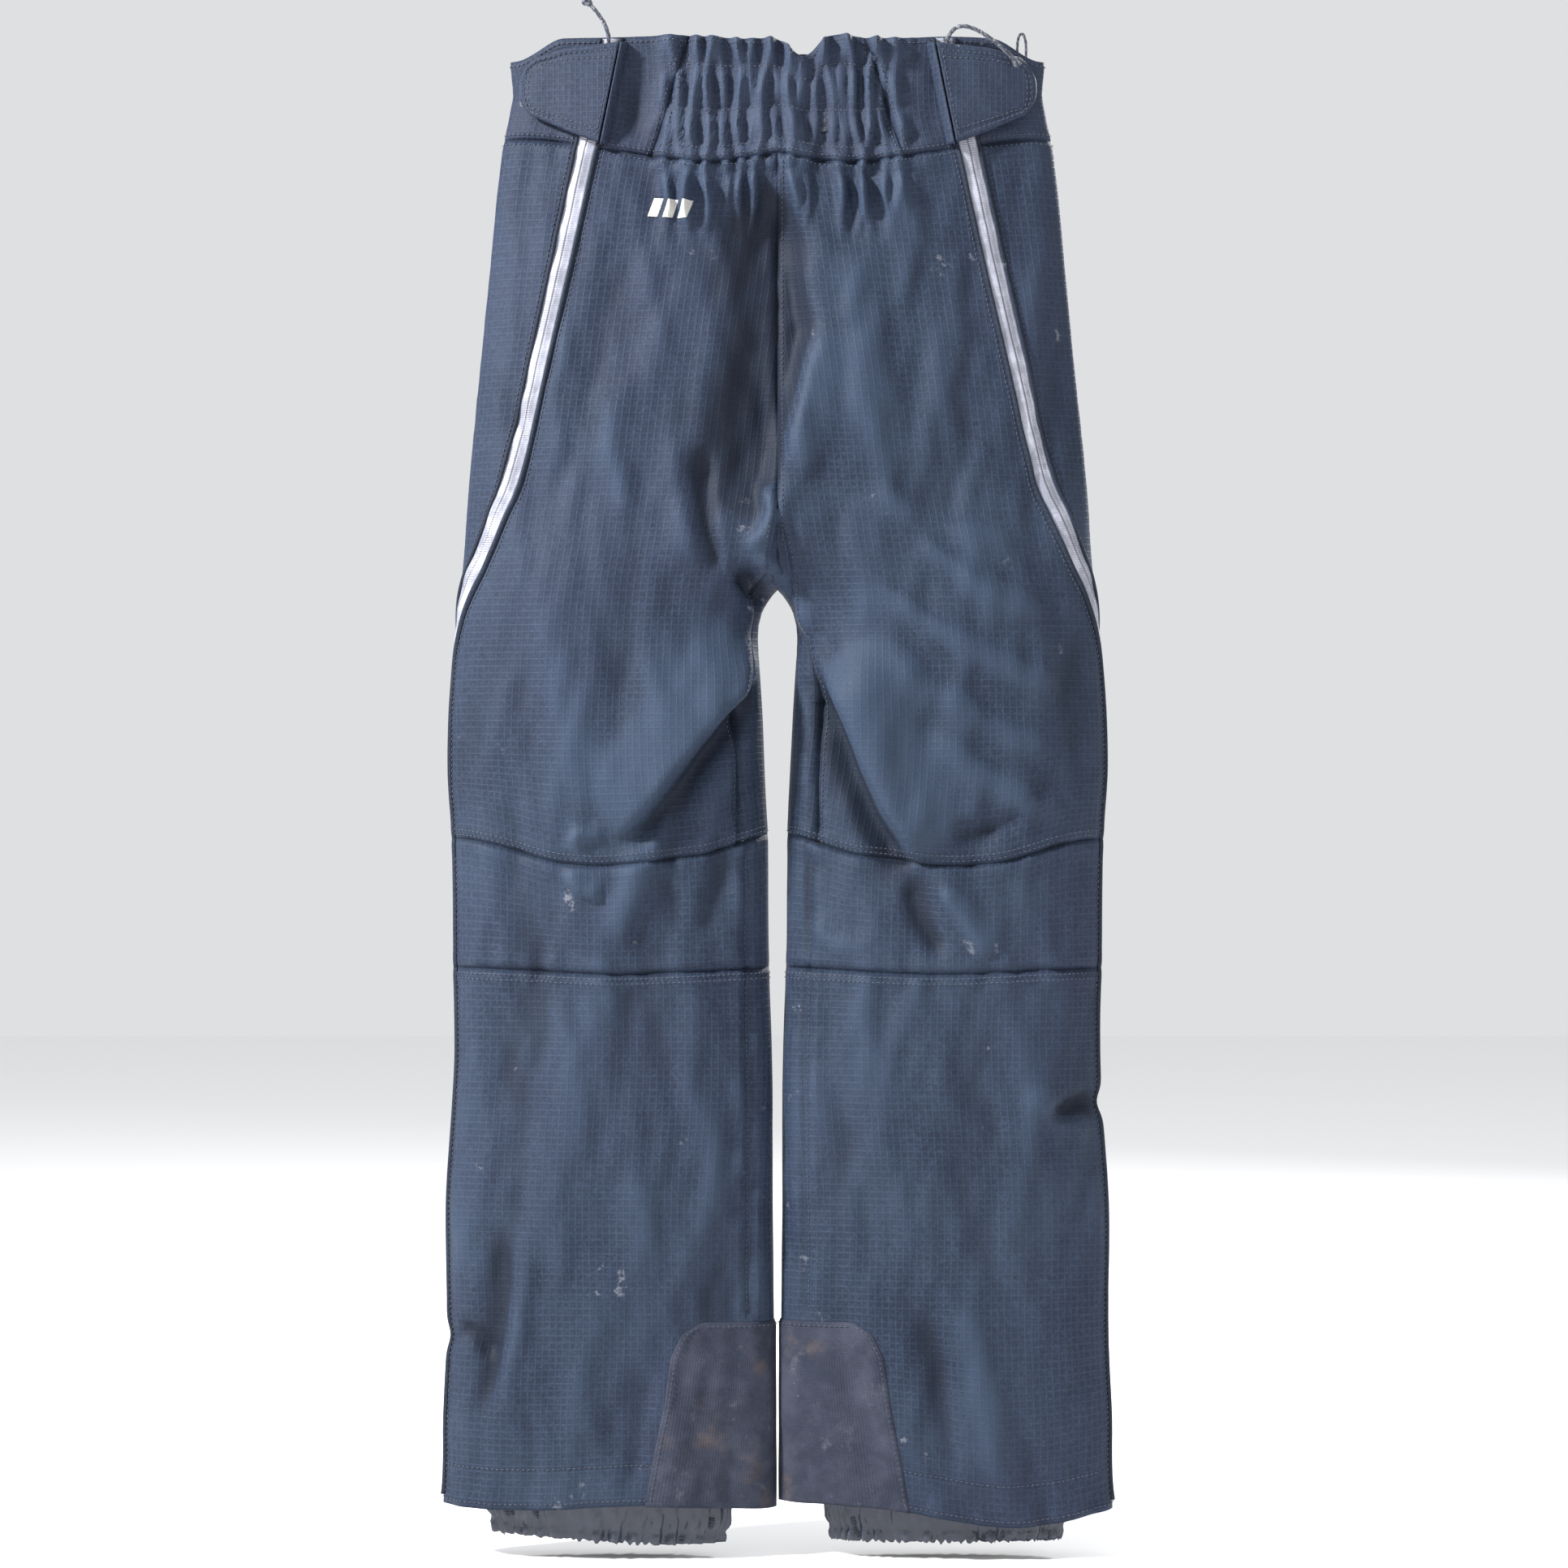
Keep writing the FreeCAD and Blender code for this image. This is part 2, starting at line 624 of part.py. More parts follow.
doc.recompute()
os.makedirs("parts", exist_ok=True)
faults = [obj.Name for obj in doc.Objects if "Invalid" in obj.State or "Error" in obj.State]
for name, obj in parts.items():
    if obj.Shape.isNull() or not obj.Shape.isValid() or len(obj.Shape.Solids) != 1:
        faults.append(f"{name}: {len(obj.Shape.Solids)} solids")
if faults:
    raise SystemExit("bad shapes: " + ", ".join(faults))
for name, obj in parts.items():
    obj.Shape.exportStep(f"parts/{name}.step")
print(f"wrote {len(parts)} pieces")
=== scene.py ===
import math

import bmesh
import bpy
import numpy as np
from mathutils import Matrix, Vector
from mathutils.bvhtree import BVHTree


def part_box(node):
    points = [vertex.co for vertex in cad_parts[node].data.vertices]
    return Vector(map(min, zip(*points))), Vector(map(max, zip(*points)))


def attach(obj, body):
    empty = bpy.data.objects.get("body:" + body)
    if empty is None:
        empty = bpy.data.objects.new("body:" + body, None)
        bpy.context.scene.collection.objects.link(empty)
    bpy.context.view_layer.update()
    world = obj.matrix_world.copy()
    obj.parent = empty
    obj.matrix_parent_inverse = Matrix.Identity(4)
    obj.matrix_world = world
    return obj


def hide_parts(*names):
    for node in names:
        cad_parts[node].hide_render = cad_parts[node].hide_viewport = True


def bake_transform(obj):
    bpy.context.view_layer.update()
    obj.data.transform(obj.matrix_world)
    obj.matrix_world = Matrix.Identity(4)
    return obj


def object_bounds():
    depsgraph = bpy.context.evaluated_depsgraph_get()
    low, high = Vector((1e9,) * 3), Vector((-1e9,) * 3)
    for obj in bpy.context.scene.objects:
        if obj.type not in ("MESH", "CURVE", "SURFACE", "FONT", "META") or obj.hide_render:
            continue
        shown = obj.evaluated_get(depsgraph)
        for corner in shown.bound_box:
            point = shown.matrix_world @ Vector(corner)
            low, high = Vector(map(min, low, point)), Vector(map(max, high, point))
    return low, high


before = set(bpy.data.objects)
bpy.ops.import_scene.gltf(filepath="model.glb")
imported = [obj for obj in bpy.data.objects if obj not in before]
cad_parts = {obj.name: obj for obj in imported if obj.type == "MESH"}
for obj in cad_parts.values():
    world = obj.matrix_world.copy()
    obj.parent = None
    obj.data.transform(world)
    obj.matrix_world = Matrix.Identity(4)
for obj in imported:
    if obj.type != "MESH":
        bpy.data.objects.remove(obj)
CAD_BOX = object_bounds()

# Ski pants seen from the back, hanging by the waistband. Lengths are in metres, in the CAD's frame.
# Fold, seam and edge lines below are drawn across the back or front in millimetres, as (X, Z).

SIDES = {"left": -1, "right": 1}
MM = 0.001
# How fine the shell's grids are: columns round one half, and the step between rows.
COLUMNS, ROW_STEP = ((176, 0.0042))
SHELL = (
    "waistband_panel",
    "waistband_front",
    "back_panel",
    "front_panel",
    "leg_gusset",
    "knee_back",
    "knee_front",
    "calf_panel",
    "shin_panel",
)
BAND_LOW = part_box("waistband_front_right")[0][2]
KNEE_LOW, KNEE_HIGH = (corner[2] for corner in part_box("knee_back_right"))
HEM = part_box("shin_panel_right")[0][2]
CROTCH = -0.390
KNEE_X = 0.1175

# The side zip's middle line, as in the CAD: down the back of the hip, then along the side.
ZIP_LINE = np.array(
    [(116, 6), (134.3, -80), (171, -240), (184, -300), (203, -352), (218, -388), (226, -412)]
) * MM
# How far the elastic's end and the tab's seam are from the middle line, at the top and foot of the band.
ELASTIC = (0.062, 0.089)
TAB_SEAM = (0.110, 0.1245)
# The inner-leg gusset: its seam's distance from the inner leg, where it starts, and how fast it opens.
GUSSET, GUSSET_TOP, GUSSET_RUN = 0.028, -0.330, 0.133
# The scuff guard's outer edge.
SCUFF_LINE = np.array([(53, -906), (67, -914), (75, -930), (80, -965), (87, -1000), (94, -1040)]) * MM

# How thick the sheets are.
SHELL_THICK = 0.0016
GUARD_THICK = 0.0008
TAB_THICK = 0.0022
TAB_FOLD_THICK = 0.0012
FILM_THICK = 0.0005
NYLON_THICK = 0.0004
ELASTIC_THICK = 0.0012
METAL_THICK = 0.0004
THREAD_THICK = 0.0004


# ---------------------------------------------------------------- the shell's measured shape


def solid_tree(names):
    """A search tree over the meshes of some CAD nodes."""
    points, faces = [], []
    for name in names:
        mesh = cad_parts[name].data
        start = len(points)
        points += [v.co.copy() for v in mesh.vertices]
        faces += [[start + i for i in p.vertices] for p in mesh.polygons]
    return BVHTree.FromPolygons(points, faces)


LEVEL_STEP = 0.01
BESIDE = 0.5  # where rays towards the middle start
FLAT_ABOVE = -0.3  # above this the two halves meet without a dip between them


def measure(side):
    """The shell's oval at each level, found by rays: height, centre, half width and half depth."""
    sign = SIDES[side]
    tree = solid_tree([f"{name}_{side}" for name in SHELL] + ["waistband_elastic"])
    levels = []
    for z in np.arange(-0.004, HEM, -LEVEL_STEP):
        outer = tree.ray_cast((sign * BESIDE, 0.001, z), (-sign, 0, 0))[0]
        if outer is None:
            continue
        outer = sign * outer.x
        spots = np.linspace(0.03, outer - 0.03, 16)
        hits = [tree.ray_cast((sign * x, -1, z), (0, 1, 0))[0] for x in spots]
        depth = max(-hit.y for hit in hits if hit)
        middle = tree.ray_cast((sign * 0.0005, -1, z), (0, 1, 0))[0] if z > CROTCH else None
        if middle is not None:
            share = math.sqrt(max(0, 1 - (middle.y / depth) ** 2)) if z < FLAT_ABOVE else 0
            wide = outer / (1 + share)
            levels.append((z, share * wide, wide, depth))
        else:
            inner = sign * tree.ray_cast((0, 0.001, z), (sign, 0, 0))[0].x
            levels.append((z, (outer + inner) / 2, (outer - inner) / 2, depth))
    return np.array(levels).T


OVALS = {side: measure(side) for side in SIDES}


def oval(side, z):
    """Centre, half width and half depth at some heights."""
    heights, *sizes = OVALS[side]
    return [np.interp(-z, -heights, values) for values in sizes]


def theta_at(side, x, z):
    """The angle round the oval at which the back is x from the middle line, counted from the inner end."""
    centre, wide, _ = oval(side, z)
    return np.arccos(np.clip((centre - x) / wide, -1, 1))


def gusset_edge(z, least=0.0):
    """How far the gusset's seam is from the inner leg at each height."""
    return GUSSET * np.clip((GUSSET_TOP - z) / GUSSET_RUN, least, 1)


def inner_end(side, z):
    """The angle at which one half starts: where the halves meet, or the inner leg below the crotch."""
    centre, wide, _ = oval(side, z)
    return np.where(np.asarray(z) > CROTCH, np.arccos(np.clip(centre / wide, -1, 1)), 0.0)


def smooth(value, low, high):
    """0 below low, 1 above high, with a soft step between."""
    share = np.clip((value - low) / (high - low), 0, 1)
    return share * share * (3 - 2 * share)


def bump(value, middle, width):
    """1 in the middle, falling off smoothly to either side."""
    return np.exp(-(((value - middle) / width) ** 2))


# ---------------------------------------------------------------- folds

FOLD_GAIN = 1.6
# Soft random waves all over: seed, count, shortest and longest in millimetres, and stretch downwards.
SLOW_WAVES, SLOW_HEIGHT = (3, 14, 46, 120, 3.2), 1.3
FINE_WAVES, FINE_HEIGHT = (5, 18, 17, 40, 2.2), 0.5
FRONT_SHIFT = 1800
# Dents in the outer side seam: which side, how high up, and how deep.
SIDE_DENTS = [(1, -752, -4), (-1, -917, -3)]

# Each fold: its line, its height, and how wide it falls off to the left and right of the line's direction.
# The back: the dip below the seat, the fans from the crotch to each knee, then thighs, knees and calves.
BACK_FOLDS = [
    ([(5, -88), (6, -170), (13, -207), (-4, -266), (-14, -311), (-20, -352)], -11, 12, 42),
    ([(26, -200), (20, -260), (10, -310)], 4, 34, 9),
    ([(-6, -425), (-30, -462), (-67, -508), (-95, -545), (-121, -567)], 10, 5, 40),
    ([(4, -434), (-22, -470), (-60, -516), (-88, -553), (-112, -574)], -7, 11, 7),
    ([(-148, -572), (-140, -562), (-121, -559)], 4, 3, 7),
    ([(-152, -588), (-139, -601), (-122, -607)], 4.5, 9, 3),
    ([(-58, -498), (-84, -560), (-104, -612), (-116, -647)], 4.5, 8, 15),
    ([(-34, -560), (-44, -600), (-52, -640)], -3, 9, 12),
    ([(-51, -285), (-49, -345), (-38, -385)], -5, 5, 10),
    ([(-75, -270), (-66, -330), (-60, -380)], 3, 14, 10),
    ([(-120, -240), (-118, -290), (-100, -350)], 2.2, 10, 12),
    ([(-150, -190), (-158, -250), (-150, -310)], 2.2, 9, 12),
    ([(-90, -130), (-84, -200), (-92, -260)], 2, 14, 14),
    ([(30, -436), (47, -472), (62, -511), (76, -543), (91, -566), (104, -590)], 11, 42, 5),
    ([(22, -442), (39, -480), (54, -518), (68, -552), (83, -577), (94, -598)], -8, 7, 12),
    ([(-14, -311), (-4, -336), (-12, -352), (-24, -364)], 6, 9, 4),
    ([(-24, -366), (-2, -378), (13, -400), (22, -425)], 6, 8, 4),
    ([(-30, -376), (-12, -392), (0, -410)], -7, 8, 6),
    ([(93, -350), (140, -385), (190, -408)], 3.4, 6, 12),
    ([(62, -318), (112, -345), (168, -360)], 2.6, 7, 14),
    ([(60, -380), (110, -416), (170, -448), (205, -458)], 3.2, 7, 12),
    ([(66, -425), (112, -462), (165, -494), (208, -508)], 2.8, 9, 15),
    ([(98, -486), (140, -516), (180, -540), (216, -548)], 3.0, 7, 13),
    ([(120, -560), (150, -560), (176, -545)], -3, 7, 7),
    ([(110, -596), (130, -618), (150, -652)], 4, 10, 6),
    ([(90, -590), (99, -622), (118, -650)], -4, 8, 7),
    ([(20, -620), (40, -640), (70, -640)], 2.5, 8, 8),
    ([(120, -180), (112, -250), (96, -320)], 2.4, 16, 10),
    ([(60, -130), (52, -200), (62, -290)], 3, 16, 16),
    ([(-186, -830), (-198, -925), (-212, -980)], -3.5, 7, 13),
    ([(-172, -820), (-184, -915), (-196, -985)], 2.8, 8, 10),
    ([(-120, -850), (-136, -930), (-150, -1010)], 2.2, 14, 12),
    ([(-60, -720), (-50, -800), (-62, -900)], 2.4, 12, 16),
    ([(-90, -930), (-98, -980), (-104, -1030)], -2, 8, 10),
    ([(28, -700), (36, -800), (30, -900)], 2.2, 9, 14),
    ([(92, -880), (112, -940), (122, -1030)], -2.8, 10, 12),
    ([(128, -870), (146, -950), (150, -1035)], 2.4, 12, 14),
    ([(190, -760), (214, -752), (226, -750)], -5, 5, 6),
    ([(176, -740), (206, -768), (224, -776)], 2.6, 8, 8),
    ([(-226, -905), (-214, -914), (-200, -930)], -4, 6, 6),
]
# The front: creases from the crotch, across the knees, and down the shins and hips.
FRONT_FOLDS = [
    ([(0, -236), (-2, -300), (0, -372)], -2, 30, 30),
    ([(-20, -370), (-70, -400), (-130, -410)], 3.2, 7, 14),
    ([(18, -370), (76, -405), (140, -418)], 3.2, 14, 7),
    ([(-28, -430), (-80, -470), (-150, -490)], 2.8, 8, 14),
    ([(28, -440), (90, -478), (160, -500)], 2.8, 14, 8),
    ([(-170, -560), (-120, -590), (-60, -585)], 3.2, 9, 9),
    ([(60, -580), (120, -600), (176, -588)], 3.2, 9, 9),
    ([(-180, -640), (-120, -655), (-50, -640)], -2.5, 8, 8),
    ([(50, -646), (120, -652), (180, -640)], -2.5, 8, 8),
    ([(-150, -740), (-140, -860), (-152, -980)], 2.8, 14, 16),
    ([(-80, -720), (-90, -850), (-76, -1000)], 2.2, 14, 12),
    ([(80, -730), (92, -860), (78, -1000)], 2.4, 12, 14),
    ([(160, -720), (150, -860), (166, -1000)], 2.6, 14, 12),
    ([(110, -130), (120, -220), (140, -320)], 2.4, 14, 12),
    ([(-110, -130), (-120, -220), (-140, -320)], 2.4, 12, 14),
]


def from_line(line, x, z):
    """For each point: how far it is from a line of points, on which side, and how far along it."""
    line = np.array(line, float)
    best = np.full(x.shape, 1e9)
    signed = np.zeros(x.shape)
    along = np.zeros(x.shape)
    lengths = np.hypot(*np.diff(line, axis=0).T)
    starts = np.concatenate([[0], np.cumsum(lengths)])
    for i, (start, end) in enumerate(zip(line, line[1:])):
        step = end - start
        share = ((x - start[0]) * step[0] + (z - start[1]) * step[1]) / (lengths[i] ** 2)
        share = np.clip(share, 0, 1)
        dx, dz = x - start[0] - share * step[0], z - start[1] - share * step[1]
        gap = np.hypot(dx, dz)
        near = gap < best
        turn = np.sign(step[0] * dz - step[1] * dx)
        best = np.where(near, gap, best)
        signed = np.where(near, gap * turn, signed)
        along = np.where(near, (starts[i] + share * lengths[i]) / starts[-1], along)
    return best, signed, along


def folded(folds, x, z):
    """The height of some folds at points given in millimetres."""
    total = np.zeros(x.shape)
    for line, height, left, right in folds:
        reach = 3 * max(left, right)
        xs, zs = zip(*line)
        near = (x > min(xs) - reach) & (x < max(xs) + reach)
        near &= (z > min(zs) - reach) & (z < max(zs) + reach)
        if not near.any():
            continue
        _, signed, along = from_line(line, x[near], z[near])
        width = np.where(signed > 0, left, right)
        ends = smooth(along, -0.02, 0.25) * (1 - smooth(along, 0.78, 1.02))
        total[near] += height * np.exp(-((signed / width) ** 2)) * ends
    return total


def waves(x, z, seed, count, shortest, longest, stretch):
    """Soft random waves that run mostly up and down, between about -1 and 1."""
    rng = np.random.default_rng(seed)
    total = np.zeros(x.shape)
    for _ in range(count):
        length = rng.uniform(shortest, longest)
        angle = rng.normal(0, 0.5)
        phase = rng.uniform(0, 2 * math.pi)
        slow = rng.uniform(0, 2 * math.pi)
        across = x * math.cos(angle) + z * math.sin(angle) / stretch
        along = z * math.cos(angle) / (stretch * length) * 1.7
        total += np.cos(2 * math.pi * across / length + phase + 1.3 * np.sin(along * 2 + slow))
    return total / math.sqrt(count)


# Back pleats of the elastic: where each lies, how high and wide it is, and how it leans.
PLEAT_RNG = np.random.default_rng(11)
PLEATS = []
spot = -96.0
while spot < 112:
    height, width, lean = (PLEAT_RNG.uniform(*span) for span in ((2.2, 4.6), (2.6, 4.2), (-0.12, 0.12)))
    PLEATS.append((spot, height, width, lean))
    spot += PLEAT_RNG.uniform(7.5, 12.5)
# Heights of the rows of stitching that pinch the elastic, in millimetres.
ELASTIC_ROWS = (-20, -46, -70)


def gathers(x, z):
    """The elastic's pleats, pinched at each row of stitching."""
    total = np.zeros(x.shape)
    for middle, height, width, lean in PLEATS:
        total += 1.3 * height * bump(x, middle + lean * (z + 40) + 1.4 * np.sin(z / 9 + middle), width)
    pinch = np.ones(x.shape)
    for row in ELASTIC_ROWS:
        pinch -= 0.55 * bump(z, row, 5)
    pinch -= 0.75 * bump(z, -88, 6)
    inside = smooth(x, -92, -66) * (1 - smooth(x, 76, 104))
    fade = smooth(z, -150, -92)
    return total * pinch * inside * fade


def seam_relief(x, z, lines):
    """A groove along each seam, with a faint pucker beside it."""
    total = np.zeros(x.shape)
    for line in lines:
        gap, _, along = from_line(line, x, z)
        pucker = 0.35 * np.sin(along * 61 + 2.2 * np.sin(along * 17)) * bump(gap, 6, 5)
        total += -1.1 * bump(gap, 0, 2.2) + 0.7 * bump(gap, 6, 4) + pucker
    return total


def back_seams(sign):
    """The seam lines across one side of the back, before the cloth sags."""
    knee_up, knee_low, band = KNEE_HIGH / MM, KNEE_LOW / MM, BAND_LOW / MM
    return [
        [(0, band), (sign * 200, band)],
        [(sign * 2, knee_up), (sign * 236, knee_up)],
        [(sign * 2, knee_low), (sign * 236, knee_low)],
        [(sign * GUSSET / MM, -470), (sign * GUSSET / MM, knee_up)],
        [(sign * 22, knee_up), (sign * 20, -900)],
        [(0, -345), (sign * GUSSET / MM, -470)],
    ]


SEAMS = {
    side: {
        True: back_seams(sign)
        + [
            [(sign * ELASTIC[0] / MM, 0), (sign * ELASTIC[1] / MM, BAND_LOW / MM)],
            [(0, BAND_LOW / MM), (0, -380)],
        ],
        False: back_seams(sign),
    }
    for side, sign in SIDES.items()
}


def sag(x, z, back):
    """How far the cloth's edges and cross seams bow up or down from level, in millimetres."""
    out = np.abs(x)
    top = -15 * smooth(out, 150, 186) - 17 * bump(x, 18, 13) + 2.5 * np.sin(x / 17) * bump(x, 20, 90)
    top = np.where(back, top, -15 * smooth(out, 150, 186) - 6 * bump(x, 0, 90))
    band = 9 * smooth(out, 95, 188) - 9 * bump(out, 50, 48)
    knee_up = 10 * smooth(out, 150, 226) - 9 * bump(out, 126, 55) + 13 * (1 - smooth(out, 0, 60))
    knee_low = -3 * bump(out, 110, 60)
    hem = np.where(x > 0, -17 * bump(x, 168, 72) + 3, -2 * np.cos(x / 30))
    hem = np.where(back, hem, np.where(x > 0, 1, 0) * 2.0)
    shift = top * smooth(z, -60, 0)
    shift += band * smooth(z, -170, -80) * (1 - smooth(z, -60, -20))
    shift += knee_up * bump(z, KNEE_HIGH / MM, 48)
    shift += knee_low * bump(z, KNEE_LOW / MM, 30)
    shift += hem * smooth(-z, 860, 1030)
    return shift


def cloth(side, theta, z, lift=0.0):
    """Points of the folded cloth of one half, lifted off it by some metres, and the way out of it."""
    sign = SIDES[side]
    theta, z = np.broadcast_arrays(np.asarray(theta, float), np.asarray(z, float))
    centre, wide, deep = oval(side, z)
    x = sign * (centre - wide * np.cos(theta))
    y = -deep * np.sin(theta)
    normal = np.stack([-sign * np.cos(theta) / wide, -np.sin(theta) / deep, np.zeros(z.shape)], -1)
    normal /= np.linalg.norm(normal, axis=-1, keepdims=True)
    back = np.sin(theta) > 0
    xm, zm = x / MM, z / MM
    down = sag(xm, zm, back)
    relief = np.where(
        back,
        folded(BACK_FOLDS, xm, zm + down) + gathers(xm, zm),
        folded(FRONT_FOLDS, xm, zm + down),
    )
    spread = xm + np.where(back, 0, FRONT_SHIFT)
    relief = relief + SLOW_HEIGHT * waves(spread, zm, *SLOW_WAVES)
    relief += FINE_HEIGHT * waves(spread, zm, *FINE_WAVES)
    for is_back in (True, False):
        picked = back == is_back
        relief[picked] += seam_relief(xm[picked], zm[picked], SEAMS[side][is_back])
    # The cloth lies calmer beside the upper zip, beside the fly, near the side edges and at the top edge.
    track = np.interp(-z, -ZIP_LINE[:, 1], ZIP_LINE[:, 0]) / MM
    relief = relief * (1 - 0.85 * back * bump(np.abs(xm), track, 15) * smooth(zm, -275, -235))
    fly = ~back * bump(xm, 0, 20) * smooth(zm, -290, -250)
    relief = relief * (1 - fly) - 0.35 * fly
    flat = smooth(np.abs(np.sin(theta)), 0.05, 0.5)
    calm = 1 - 0.75 * bump(zm, 0, 30) * (np.abs(xm) > 95)
    relief = relief * FOLD_GAIN * (0.12 + 0.88 * flat) * calm
    for dented, level, depth in SIDE_DENTS:
        if sign == dented:
            relief += depth * bump(zm, level, 9) * bump(theta, math.pi, 0.5)
    points = np.stack([x, y, z + down * MM], -1) + normal * (relief * MM + lift)[..., None]
    return points, normal, relief


# ---------------------------------------------------------------- materials


class Shader:
    """A small helper for building one node material."""

    def __init__(self, name, roughness=0.7, metallic=0.0, **sockets):
        self.material = bpy.data.materials.new(name)
        self.material.use_nodes = True
        self.nodes = self.material.node_tree.nodes
        self.links = self.material.node_tree.links
        self.surface = self.nodes["Principled BSDF"]
        self.surface.inputs["Roughness"].default_value = roughness
        self.surface.inputs["Metallic"].default_value = metallic
        for key, value in sockets.items():
            self.surface.inputs[key.replace("_", " ")].default_value = value

    def node(self, kind, **settings):
        node = self.nodes.new(kind)
        for key, value in settings.items():
            if key in node.inputs:
                node.inputs[key].default_value = value
            else:
                setattr(node, key, value)
        return node

    def link(self, source, target):
        self.links.new(source, target)

    def place(self, layer=None):
        if layer:
            return self.node("ShaderNodeUVMap", uv_map=layer).outputs["UV"]
        return self.node("ShaderNodeTexCoord").outputs["Object"]

    def noise(self, place, scale, detail=3.0, rough=0.55):
        noise = self.node("ShaderNodeTexNoise")
        noise.inputs["Scale"].default_value = scale
        noise.inputs["Detail"].default_value = detail
        noise.inputs["Roughness"].default_value = rough
        self.link(place, noise.inputs["Vector"])
        return noise.outputs["Fac"]

    def bands(self, place, direction, period):
        """Soft bands, one each period in metres. A wave texture has 20 bands in each 2 pi at scale 1."""
        wave = self.node("ShaderNodeTexWave", bands_direction=direction)
        wave.inputs["Scale"].default_value = 2 * math.pi / 20 / period
        self.link(place, wave.inputs["Vector"])
        return wave.outputs["Fac"]

    def math(self, operation, a, b=0.0):
        node = self.node("ShaderNodeMath", operation=operation)
        for socket, value in zip(node.inputs, (a, b)):
            if isinstance(value, (int, float)):
                socket.default_value = value
            else:
                self.link(value, socket)
        return node.outputs[0]

    def step(self, value, low, high):
        """0 below low and 1 above high."""
        node = self.node("ShaderNodeMapRange", interpolation_type="SMOOTHSTEP")
        node.inputs["From Min"].default_value = low
        node.inputs["From Max"].default_value = high
        self.link(value, node.inputs["Value"])
        return node.outputs[0]

    def mix(self, share, a, b):
        node = self.node("ShaderNodeMix", data_type="RGBA")
        if isinstance(share, (int, float)):
            node.inputs["Factor"].default_value = share
        else:
            self.link(share, node.inputs["Factor"])
        for socket, value in ((node.inputs[6], a), (node.inputs[7], b)):
            if isinstance(value, tuple):
                socket.default_value = (*value, 1)
            else:
                self.link(value, socket)
        return node.outputs[2]

    def colour(self, value):
        self.link(value, self.surface.inputs["Base Color"])

    def bump(self, height, strength, distance):
        node = self.node("ShaderNodeBump")
        node.inputs["Strength"].default_value = strength
        node.inputs["Distance"].default_value = distance
        self.link(height, node.inputs["Height"])
        self.link(node.outputs["Normal"], self.surface.inputs["Normal"])

    def attribute(self, name):
        return self.node("ShaderNodeAttribute", attribute_name=name).outputs["Fac"]

    def tint(self, base, colour, value, low, high, most):
        """Mixes a colour over the base where a value rises from low to high, up to a share."""
        return self.mix(self.math("MULTIPLY", self.step(value, low, high), most), base, colour)


def scaled(colour, *shares):
    """A colour times one share, or times one for each channel."""
    return tuple(c * s for c, s in zip(colour, shares * (3 // len(shares))))


def ripstop(name, dark, light, cell=0.0048):
    """Ripstop: a fine weave with a grid of thicker threads, mottled, with a painted highlight and wear
    along the folds' ridges and painted shade in their valleys.
    """
    s = Shader(name, 0.62, Sheen_Weight=0.03, Sheen_Roughness=0.45, Specular_IOR_Level=0.2)
    s.surface.inputs["Sheen Tint"].default_value = (0.75, 0.82, 1.0, 1)
    weave, body = s.place("weave"), s.place()
    grid = s.math("MAXIMUM", *(s.step(s.bands(weave, way, cell), 0.8, 0.97) for way in "XY"))
    thread = s.math("MULTIPLY", *(s.bands(weave, way, cell / 5) for way in "XY"))
    fleck = s.noise(body, 420, 2, 0.6)
    base = s.mix(s.step(s.noise(body, 9, 5, 0.6), 0.32, 0.7), dark, light)
    violet = s.mix(s.step(s.noise(body, 4.3, 2), 0.42, 0.66), base, scaled(dark, 1.25, 0.95, 1.12))
    base = s.mix(0.5, base, violet)
    base = s.tint(base, scaled(light, 1.6), fleck, 0.45, 0.68, 0.34)
    base = s.tint(base, scaled(dark, 0.45), s.noise(body, 260, 4, 0.7), 0.5, 0.72, 0.42)
    base = s.mix(s.math("MULTIPLY", grid, 0.3), base, scaled(light, 1.5))
    patches = s.step(s.noise(body, 21, 2), 0.66, 0.70)
    chalk = s.math("MULTIPLY", patches, s.step(s.noise(body, 120, 5, 0.7), 0.56, 0.64))
    base = s.mix(s.math("MULTIPLY", chalk, 0.35), base, (0.30, 0.31, 0.34))
    # Painted light from the folds' relief: paler on ridges (painted highlight, partly wear), darker in
    # valleys (painted shade).
    ridge = s.attribute("ridge")
    base = s.tint(base, scaled(light, 1.55), ridge, 0.5, 5.5, 0.5)
    base = s.tint(base, scaled(dark, 0.42), s.math("MULTIPLY", ridge, -1.0), 0.3, 6.0, 0.72)
    s.colour(base)
    height = s.math("ADD", s.math("MULTIPLY", grid, 0.8), s.math("MULTIPLY", thread, 0.35))
    height = s.math("ADD", height, s.math("MULTIPLY", fleck, 0.5))
    s.bump(height, 0.55, 0.0004)
    return s.material


def scuffed():
    """Hard-wearing ankle cloth, greyer, rubbed pale and stained."""
    s = Shader("scuff_cloth", 0.85, Sheen_Weight=0.02, Specular_IOR_Level=0.15)
    weave, body = s.place("weave"), s.place()
    coarse = s.math("MULTIPLY", *(s.bands(weave, way, 0.0015) for way in "XY"))
    base = s.mix(s.step(s.noise(body, 26, 6, 0.7), 0.35, 0.7), (0.026, 0.031, 0.049), (0.050, 0.055, 0.080))
    for colour, grain, low, high, most in (
        ((0.15, 0.155, 0.175), (48, 8, 0.75), 0.56, 0.72, 0.4),  # rubbed
        ((0.12, 0.088, 0.072), (17, 5, 0.6), 0.6, 0.74, 0.5),  # soiled
        ((0.38, 0.36, 0.36), (95, 4, 0.7), 0.69, 0.76, 0.6),  # chalky
    ):
        base = s.tint(base, colour, s.noise(body, *grain), low, high, most)
    s.colour(base)
    s.bump(s.math("ADD", coarse, s.noise(body, 700, 2)), 0.6, 0.0005)
    return s.material


